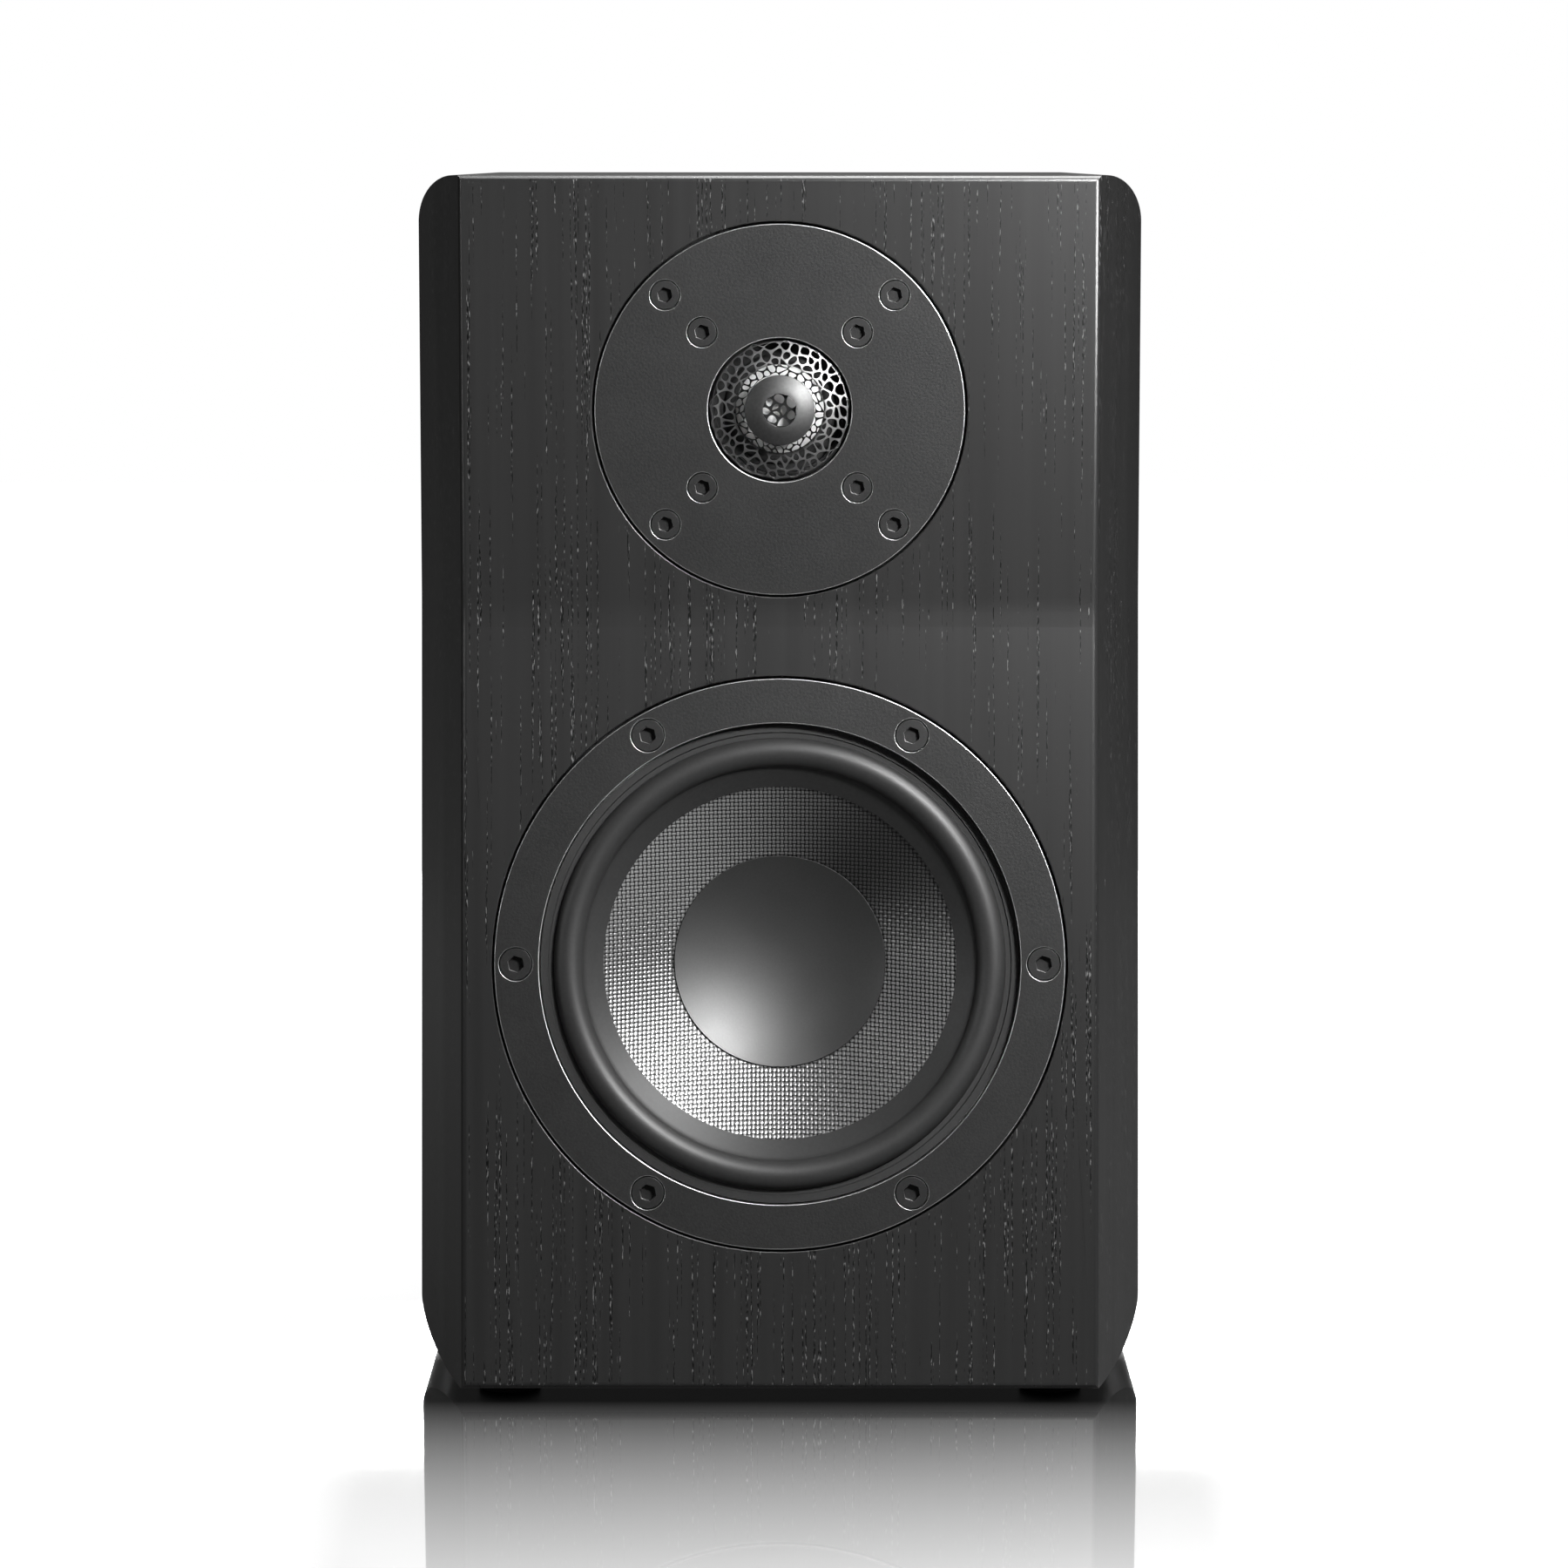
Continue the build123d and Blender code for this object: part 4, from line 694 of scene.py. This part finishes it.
# Painted sheen: the thread colour runs from light in the upper left quarter to dark in the upper right, mid
# grey below.
upper = calc(tree, "MULTIPLY", across, calc(tree, "MAXIMUM", upward, 0.0))
painted_sheen_quarters = ramp(tree, calc(tree, "DIVIDE", upper, reach), 0.5, -0.5)
thread_grey_with_painted_sheen = blended(tree, painted_sheen_quarters, grey(0.12), grey(0.68))
# The gaps between the threads are painted nearly black, a painted shade where the threads dip apart.
threads_over_painted_gap_shade = ramp(tree, woven.outputs["Thread"], 0.25, 0.75)
tree.links.new(blended(tree, threads_over_painted_gap_shade, grey(0.022), thread_grey_with_painted_sheen), cloth.inputs["Base Color"])
embossed(tree, cloth, strength=0.3, depth=0.0003, height=woven.outputs["Thread"])

cone_outer = 57.65
cone_inner = 19.0
cone_wall = 1.4
open_weave = [51.4 - 0.3 * i for i in range(71)]
cone_outline = [(r, cone_face(r)) for r in [cone_outer] + open_weave + [cone_inner]]
cone_outline += [(r, cone_face(r) - cone_wall) for r in (cone_inner, cone_outer)]
cone_outline += [(cone_outer, cone_face(cone_outer))]
cone = turned("woven_cone", cone_outline, steps=880)
placed(cone, woofer_seat)


def thread_height(across, upward):
    a = across - math.floor(across) - 0.5
    b = upward - math.floor(upward) - 0.5
    side_a = math.cos(a * math.pi)
    side_b = math.cos(b * math.pi)
    if (math.floor(across) + math.floor(upward)) % 2:
        return side_b * (arch_swing * side_a + arch_base)
    return side_a * (arch_swing * side_b + arch_base)


down = woofer_seat.inverted()
relief_height = 0.00022
relief_inner = 31.3
relief_outer = 50.7
for vertex in cone.data.vertices:
    at = down @ vertex.co
    radius = math.hypot(at.x, at.y) / MM
    if relief_inner < radius < relief_outer and at.z / MM > cone_face(radius) - 0.5:
        height = thread_height(vertex.co.x * threads, vertex.co.z * threads) - 0.5
        vertex.co += woofer_axis * height * relief_height
eased(cone, angle=60.0)
dressed(cone, glass_fibre, "cone_weave", "woofer_cone", "woofer_cone")

# Dust cap: a shallow inward dish pressed from smooth sheet and sprayed satin
# silver grey, glued by its rim to the cone over the voice coil.
cap_radius = 30.7
cap_depth = 6.45
cap_bottom = -28.99
cap_wall = 0.8
sphere = (cap_radius ** 2 + cap_depth ** 2) / (2.0 * cap_depth)
dish = []
for i in range(25):
    radius = cap_radius * i / 24.0
    dish.append((radius, cap_bottom + sphere - math.sqrt(sphere ** 2 - radius ** 2)))
cap_lip = [(30.9, -22.75), (30.5, -23.4)]
cap_back = [(r, h - cap_wall) for r, h in dish[-2::-1]]
cap_outline = dish + cap_lip + cap_back + [dish[0]]
cap = turned("dished_cap", cap_outline, steps=160)
placed(cap, woofer_seat)
eased(cap, angle=40.0)
cap_grey = finish(
    "satin_silver_grey",
    grey(0.085),
    grey(0.095),
    roughness=0.47,
    metallic=0.92,
    grain=2000.0,
    depth=0.00001,
    strength=0.15,
)
dressed(cap, cap_grey, "cap_grey", "woofer_cone", "dust_cap")

# Woofer motor: former and coil on the cone's neck, a corrugated cloth spider,
# steel plates and a ferrite ring magnet, all hidden in the cabinet.
steel = finish("phosphated_steel", grey(0.10), grey(0.16), roughness=0.45, metallic=0.9, grain=1100.0)
ferrite = finish("sintered_ferrite", grey(0.03), grey(0.05), roughness=0.7, grain=1600.0, depth=0.0001)
tag_board = finish("tag_board", (0.16, 0.09, 0.04, 1.0), (0.22, 0.13, 0.06, 1.0), roughness=0.6)
former_sheet = finish("former_sheet", (0.24, 0.15, 0.06, 1.0), (0.30, 0.19, 0.08, 1.0), roughness=0.4)
coated(former_sheet, "woofer_former", "tweeter_former")
coated(copper, "woofer_coil", "tweeter_coil")
coated(steel, "woofer_top_plate", "woofer_yoke", "tweeter_top_plate", "tweeter_yoke")
coated(ferrite, "woofer_magnet", "tweeter_magnet")
coated(tag_board, "woofer_terminals", "tweeter_terminals")
dark_cloth = (0.30, 0.22, 0.10, 1.0)
light_cloth = (0.40, 0.30, 0.15, 1.0)
spider_cloth = finish(
    "spider_cloth", dark_cloth, light_cloth, roughness=0.85, grain=1800.0, depth=0.0002, strength=0.6
)
spider = traced("woofer_spider", "cloth_spider")
eased(spider, angle=50.0)
low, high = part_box("woofer_spider")
glued_width = 0.003
stretched(
    spider,
    spider_cloth,
    "woofer_spider",
    "woofer_cone",
    woofer_middle,
    woofer_axis,
    held=0.5 * (high[0] - low[0]) - glued_width,
    free=0.0205,
)

# Tweeter plate: a turned aluminium disc, powder coated satin black like the
# woofer ring, with its edges cut bright. Eight cap screws sit in flush bores.
plate = drum("tweeter_disc", radius=53.1, low=-5.0, high=0.0, sides=192)
cut(plate, drum("through_bore", radius=20.6, low=-9.0, high=tool_top, sides=128))
bright_edged(plate, outline_edge, powder, cut_edge)
outer_holes = round_about(radius=46.4, count=4, first=math.pi / 4)
inner_holes = round_about(radius=31.4, count=4, first=math.pi / 4)
for hole in outer_holes + inner_holes:
    cut(plate, drum("counterbore", radius=4.4, low=-3.0, high=tool_top, sides=48, at=hole))
bright_edged(plate, bore_edge, powder, cut_edge)
placed(plate, tweeter_seat)
eased(plate, angle=40.0)
dressed(plate, powder, "powder_coat", "cabinet", "tweeter_plate")
rim_screw = socket_screw(head=4.1, height=2.85, socket=3.9, shank=1.9, length=18.0)
screws_at("tweeter_rim_screws", rim_screw, outer_holes, tweeter_seat, "tweeter_outer_screws")
motor_screw = socket_screw(head=4.1, height=2.85, socket=3.9, shank=1.9, length=8.0)
screws_at("tweeter_motor_screws", motor_screw, inner_holes, tweeter_seat, "tweeter_inner_screws")
mount_plastic = finish("mount_plastic", grey(0.008), grey(0.012), roughness=0.6, gloss=0.25)
coated(mount_plastic, "tweeter_mount_ring", "tweeter_chamber")

# Tweeter dome: thin drawn aluminium on a narrow rolled surround, behind the
# lattice. The dome and its coil move, and the roll's outer land stays glued.
bright_foil = finish(
    "drawn_aluminium", grey(0.88), grey(0.94), roughness=0.4, metallic=0.15, grain=700.0, depth=0.00001
)
covered("tweeter_dome", "foil_dome", bright_foil, "dome_metal", "tweeter_dome", angle=60.0)
roll_cloth = finish("sealed_cloth_roll", grey(0.012), grey(0.02), roughness=0.7, grain=1800.0, gloss=0.25)
dome_roll = traced("tweeter_surround", "dome_roll")
eased(dome_roll, angle=60.0)
stretched(
    dome_roll,
    roll_cloth,
    "tweeter_surround",
    "tweeter_dome",
    tweeter_seat @ Vector((0.0, 0.0, 0.0)),
    Vector((0.0, -1.0, 0.0)),
    held=0.0161,
    free=0.0127,
)

# Lattice: the waveguide in front of the dome, an etched metal net of uneven
# rounded cells, domed towards the middle, with a smooth rim behind the plate.
# Its ribs within 12.6 mm of the middle are painted near black, a painted shade
# round the plug.
cell_reach = 5.0
turn_scatter = 0.85
radius_scatter = 1.5
lattice_edge = 19.7
lattice_run = 8.0
lattice_foot = -1.7
lattice_rise = 2.6


def wobble(number):
    value = math.sin(number * 12.9898 + 4.137) * 43758.5453
    return value - math.floor(value)


def cell_outline(seeds, index, reach):
    x0, y0 = seeds[index]
    left, right, low, high = x0 - reach, x0 + reach, y0 - reach, y0 + reach
    shape = [(left, low), (right, low), (right, high), (left, high)]
    for other, (x1, y1) in enumerate(seeds):
        if other == index or (x1 - x0) ** 2 + (y1 - y0) ** 2 > 4.0 * reach * reach:
            continue
        nx, ny = x1 - x0, y1 - y0
        limit = (x1 * x1 + y1 * y1 - x0 * x0 - y0 * y0) * 0.5
        kept = []
        for i, a in enumerate(shape):
            b = shape[(i + 1) % len(shape)]
            da = a[0] * nx + a[1] * ny - limit
            db = b[0] * nx + b[1] * ny - limit
            if da <= 0.0:
                kept.append(a)
            if da * db < 0.0:
                t = da / (da - db)
                kept.append((a[0] + (b[0] - a[0]) * t, a[1] + (b[1] - a[1]) * t))
        shape = kept
    return shape


def net(name, rings, edges, lift, rib, thick):
    seeds = []
    for number, (radius, count) in enumerate(rings):
        for i in range(count):
            key = number * 101 + i * 7
            free = 0.0 if number in edges else 1.0
            turn = i + 0.5 * (number % 2) + turn_scatter * free * (wobble(key) - 0.5)
            angle = 2.0 * math.pi * turn / count
            away = radius + radius_scatter * free * (wobble(key + 3) - 0.5)
            seeds.append((away * math.cos(angle), away * math.sin(angle), number))
    flat = [(x, y) for x, y, number in seeds]
    corners, faces, known = [], [], {}
    for index, (x, y, number) in enumerate(seeds):
        if number in edges:
            continue
        face = []
        for px, py in cell_outline(flat, index, cell_reach):
            key = (round(px, 2), round(py, 2))
            if key not in known:
                known[key] = len(corners)
                corners.append((px * MM, py * MM, lift(math.hypot(px, py)) * MM))
            if known[key] not in face:
                face.append(known[key])
        if len(face) > 2:
            faces.append(face)
    mesh = bpy.data.meshes.new(name)
    mesh.from_pydata(corners, [], faces)
    piece = bpy.data.objects.new(name, mesh)
    bpy.context.scene.collection.objects.link(piece)
    pick(piece)
    bpy.ops.object.mode_set(mode="EDIT")
    bpy.ops.mesh.select_all(action="SELECT")
    bpy.ops.mesh.normals_make_consistent(inside=False)
    bpy.ops.mesh.inset(thickness=0.5 * rib * MM, use_individual=True, use_even_offset=True)
    bpy.ops.mesh.delete(type="FACE")
    bpy.ops.object.mode_set(mode="OBJECT")
    worked(piece, "SUBSURF", levels=2, render_levels=2)
    worked(piece, "SOLIDIFY", thickness=thick * MM, offset=-1.0)
    return piece


def lattice_lift(radius):
    way = min(1.0, max(0.0, (lattice_edge - radius) / lattice_run))
    return lattice_foot + lattice_rise * math.sin(0.5 * math.pi * way)


# Each ring of cells is a radius and a count. The first and last ring only
# bound their neighbours and carry no cells of their own.
lattice_rings = [(20.9, 40), (18.5, 35), (16.0, 32), (13.9, 27), (12.2, 26), (10.8, 22), (9.3, 22)]
lattice = net("lattice_net", lattice_rings, (0, 6), lattice_lift, rib=0.31, thick=0.45)
rim_outline = [(19.35, -5.0), (20.3, -5.0), (20.3, -2.9), (19.85, -2.6), (19.85, -2.0)]
rim_outline += [(19.6, -1.65), (19.35, -1.55), (19.35, -5.0)]
rim = turned("lattice_rim", rim_outline, steps=128)
lattice_metal = finish(
    "nickelled_lattice", grey(0.24), grey(0.28), roughness=0.42, metallic=1.0, grain=900.0, depth=0.00001
)
tree = lattice_metal.node_tree
skin = tree.nodes["Principled BSDF"]
nickel = skin.inputs["Base Color"].links[0].from_socket
axes = add(tree, "ShaderNodeSeparateXYZ", ("Vector", tree.nodes["Texture Coordinate"].outputs["Object"]))
across = axes.outputs[0]
upward = calc(tree, "SUBTRACT", axes.outputs[2], tweeter_height)
reach = calc(tree, "ADD", calc(tree, "MULTIPLY", across, across), calc(tree, "MULTIPLY", upward, upward))
# Painted shade: inside 12.6 mm the ribs go near black, outside they keep the nickel colour.
outside = ramp(tree, calc(tree, "SQRT", reach), 0.0126, 0.0138)
tree.links.new(blended(tree, outside, grey(0.02), nickel), skin.inputs["Base Color"])
for part in (lattice, rim):
    part.data.materials.append(lattice_metal)
lattice = gathered("etched_lattice", [lattice, rim])
placed(lattice, tweeter_seat)
eased(lattice, angle=60.0)
dressed(lattice, lattice_metal, "lattice_metal", "cabinet", "tweeter_diffuser")

# Phase plug: a turned metal disc in the middle of the lattice, slightly
# crowned, with an eye that carries a small net of its own. The net is painted
# near black, a painted shade for its sunken place in the eye.
eye_radius = 4.85
crown_width = 5.1
crown_top = 2.5
crown_fall = 1.5
plug_edge = 10.05
plug_back = 0.1
plug_outline = [(eye_radius, plug_back), (eye_radius, crown_top)]
for i in range(1, 13):
    way = i / 12.0
    plug_outline.append((eye_radius + crown_width * i / 12.0, crown_top - crown_fall * way ** 1.5))
plug_outline += [(plug_edge, 0.8), (plug_edge, plug_back), (eye_radius, plug_back)]
plug = turned("crowned_plug", plug_outline, steps=128)
plug_metal = finish(
    "satin_turned_metal", grey(0.09), grey(0.11), roughness=0.5, metallic=1.0, grain=1200.0, depth=0.00001
)
plug.data.materials.append(plug_metal)
# The eye's net is the plug's metal painted near black, as painted shade.
dark_nickel = finish("dark_nickel", grey(0.006), grey(0.01), roughness=0.6, grain=900.0, gloss=0.15)
eye_rings = [(1.3, 3), (3.4, 7), (6.4, 9)]
eye_net = net("eye_net", eye_rings, (2,), lambda radius: 0.9, rib=0.55, thick=0.5)
eye_net.data.materials.append(dark_nickel)
plug = gathered("phase_disc", [plug, eye_net])
placed(plug, tweeter_seat)
eased(plug, angle=40.0)
dressed(plug, plug_metal, "plug_metal", "cabinet", "phase_plug")

# Studio: a pale floor that mirrors only in front of the cabinet, white
# surroundings, soft lamps all round, and the camera. Two lamps skip the top
# board, to keep glare off it, and one draws only the edges of the front.
bpy.ops.object.select_all(action="DESELECT")
bpy.ops.mesh.primitive_plane_add(size=8.0, location=(0.0, 0.0, 0.0))
floor = bpy.context.object
floor.name = "studio_floor"
pale = bpy.data.materials.new("pale_floor")
pale.use_nodes = True
tree = pale.node_tree
tree.nodes.clear()
rays = add(tree, "ShaderNodeLightPath").outputs
place = add(tree, "ShaderNodeTexCoord").outputs["Object"]
axes = add(tree, "ShaderNodeSeparateXYZ", ("Vector", place)).outputs
glossy = calc(tree, "MULTIPLY", rays["Is Glossy Ray"], 0.05)
indirect = calc(tree, "MAXIMUM", glossy, rays["Is Transmission Ray"])
seen = calc(tree, "MAXIMUM", rays["Is Camera Ray"], indirect)
lit = add(tree, "ShaderNodeBsdfDiffuse", ("Color", blended(tree, seen, grey(0.05), grey(0.29))))
near = ramp(tree, axes[1], -0.4, 0.4, 0.78, 1.0)
far = ramp(tree, axes[1], -0.9, -1.6, 0.78, 1.0)
glow = calc(tree, "MULTIPLY", seen, calc(tree, "MAXIMUM", near, far))
white = add(tree, "ShaderNodeEmission", ("Color", grey(1.0)), ("Strength", glow))
ground = add(tree, "ShaderNodeAddShader", (0, lit.outputs[0]), (1, white.outputs[0]))
sheen = add(tree, "ShaderNodeBsdfGlossy", ("Color", grey(1.0)), ("Roughness", 0.03))
fading = ramp(tree, axes[1], -0.53, -0.15, 0.0, 1.0)
ending = ramp(tree, axes[1], -0.1, -0.02, 1.0, 0.0)
along = calc(tree, "MULTIPLY", fading, ending)
beside = ramp(tree, calc(tree, "ABSOLUTE", axes[0]), 0.112, 0.15, 1.0, 0.0)
mirror = calc(tree, "MULTIPLY", rays["Is Camera Ray"], calc(tree, "MULTIPLY", along, beside))
surface = add(tree, "ShaderNodeMixShader", (0, mirror), (1, ground.outputs[0]), (2, sheen.outputs[0]))
add(tree, "ShaderNodeOutputMaterial", ("Surface", surface.outputs[0]))
floor.data.materials.append(pale)

world = bpy.data.worlds.new("studio")
bpy.context.scene.world = world
world.use_nodes = True
tree = world.node_tree
tree.nodes.clear()
rays = add(tree, "ShaderNodeLightPath").outputs
place = add(tree, "ShaderNodeTexCoord").outputs["Generated"]
axes = add(tree, "ShaderNodeSeparateXYZ", ("Vector", place)).outputs
window = calc(tree, "MULTIPLY", ramp(tree, axes[1], 0.945, 0.96), ramp(tree, axes[2], 0.12, 0.17))
behind = calc(tree, "MULTIPLY", calc(tree, "MULTIPLY", window, 0.65), rays["Is Glossy Ray"])
indirect = calc(tree, "MAXIMUM", behind, rays["Is Transmission Ray"])
seen = calc(tree, "MAXIMUM", rays["Is Camera Ray"], indirect)
strength = ramp(tree, seen, 0.0, 1.0, 0.045, 1.0)
sky = add(tree, "ShaderNodeBackground", ("Color", grey(1.0)), ("Strength", strength))
add(tree, "ShaderNodeOutputWorld", ("Surface", sky.outputs[0]))


def lamp(name, place, aim, width, height, power):
    light = bpy.data.lights.new(name, "AREA")
    light.shape = "RECTANGLE"
    light.size = width
    light.size_y = height
    light.energy = power
    holder = bpy.data.objects.new(name, light)
    bpy.context.scene.collection.objects.link(holder)
    holder.location = place
    holder.visible_camera = False
    holder.rotation_euler = (Vector(aim) - Vector(place)).to_track_quat("-Z", "Y").to_euler()
    return holder


def limited(holder, board, state):
    group = bpy.data.collections.new(holder.name + "_receivers")
    group.objects.link(bpy.data.objects[board])
    holder.light_linking.receiver_collection = group
    group.collection_objects[0].light_linking.link_state = state


key = lamp("key", (0.85, -0.75, 1.2), (0.0, -0.1, 0.2), width=0.8, height=0.8, power=24.0)
card = lamp("card", (0.27, -0.57, 0.47), (0.05, -0.12, 0.33), width=0.1, height=0.1, power=5.5)
edge = lamp("edge", (0.1, -0.13, 1.2), (0.0, -0.13, 0.35), width=0.7, height=0.35, power=17.0)
limited(key, "veneered_top_panel", "EXCLUDE")
limited(card, "veneered_top_panel", "EXCLUDE")
limited(edge, "veneered_front_baffle", "INCLUDE")
lamp("fill", (-1.3, -0.9, 0.45), (0.0, -0.1, 0.18), width=0.2, height=0.2, power=2.0)
lamp("strip", (0.25, 0.25, 1.25), (0.0, 0.0, 0.35), width=1.2, height=0.4, power=3.8)
lamp("rear", (0.0, 0.95, 0.16), (0.0, 0.13, 0.16), width=0.5, height=0.28, power=6.0)
lamp("side", (-0.9, 0.35, 1.4), (-0.1, 0.0, 0.18), width=0.5, height=0.5, power=8.0)

view_distance = 1.46278
view_height = 0.35622
view_aside = 0.001215
view_drop = 7.03
lens = bpy.data.cameras.new("photo_view")
lens.sensor_width = 36.0
lens.lens = 117.12
viewer = bpy.data.objects.new("photo_view", lens)
bpy.context.scene.collection.objects.link(viewer)
viewer.location = (view_aside, tweeter_front - view_distance, view_height)
viewer.rotation_euler = (math.radians(90.0 - view_drop), 0.0, 0.0)
bpy.context.scene.camera = viewer
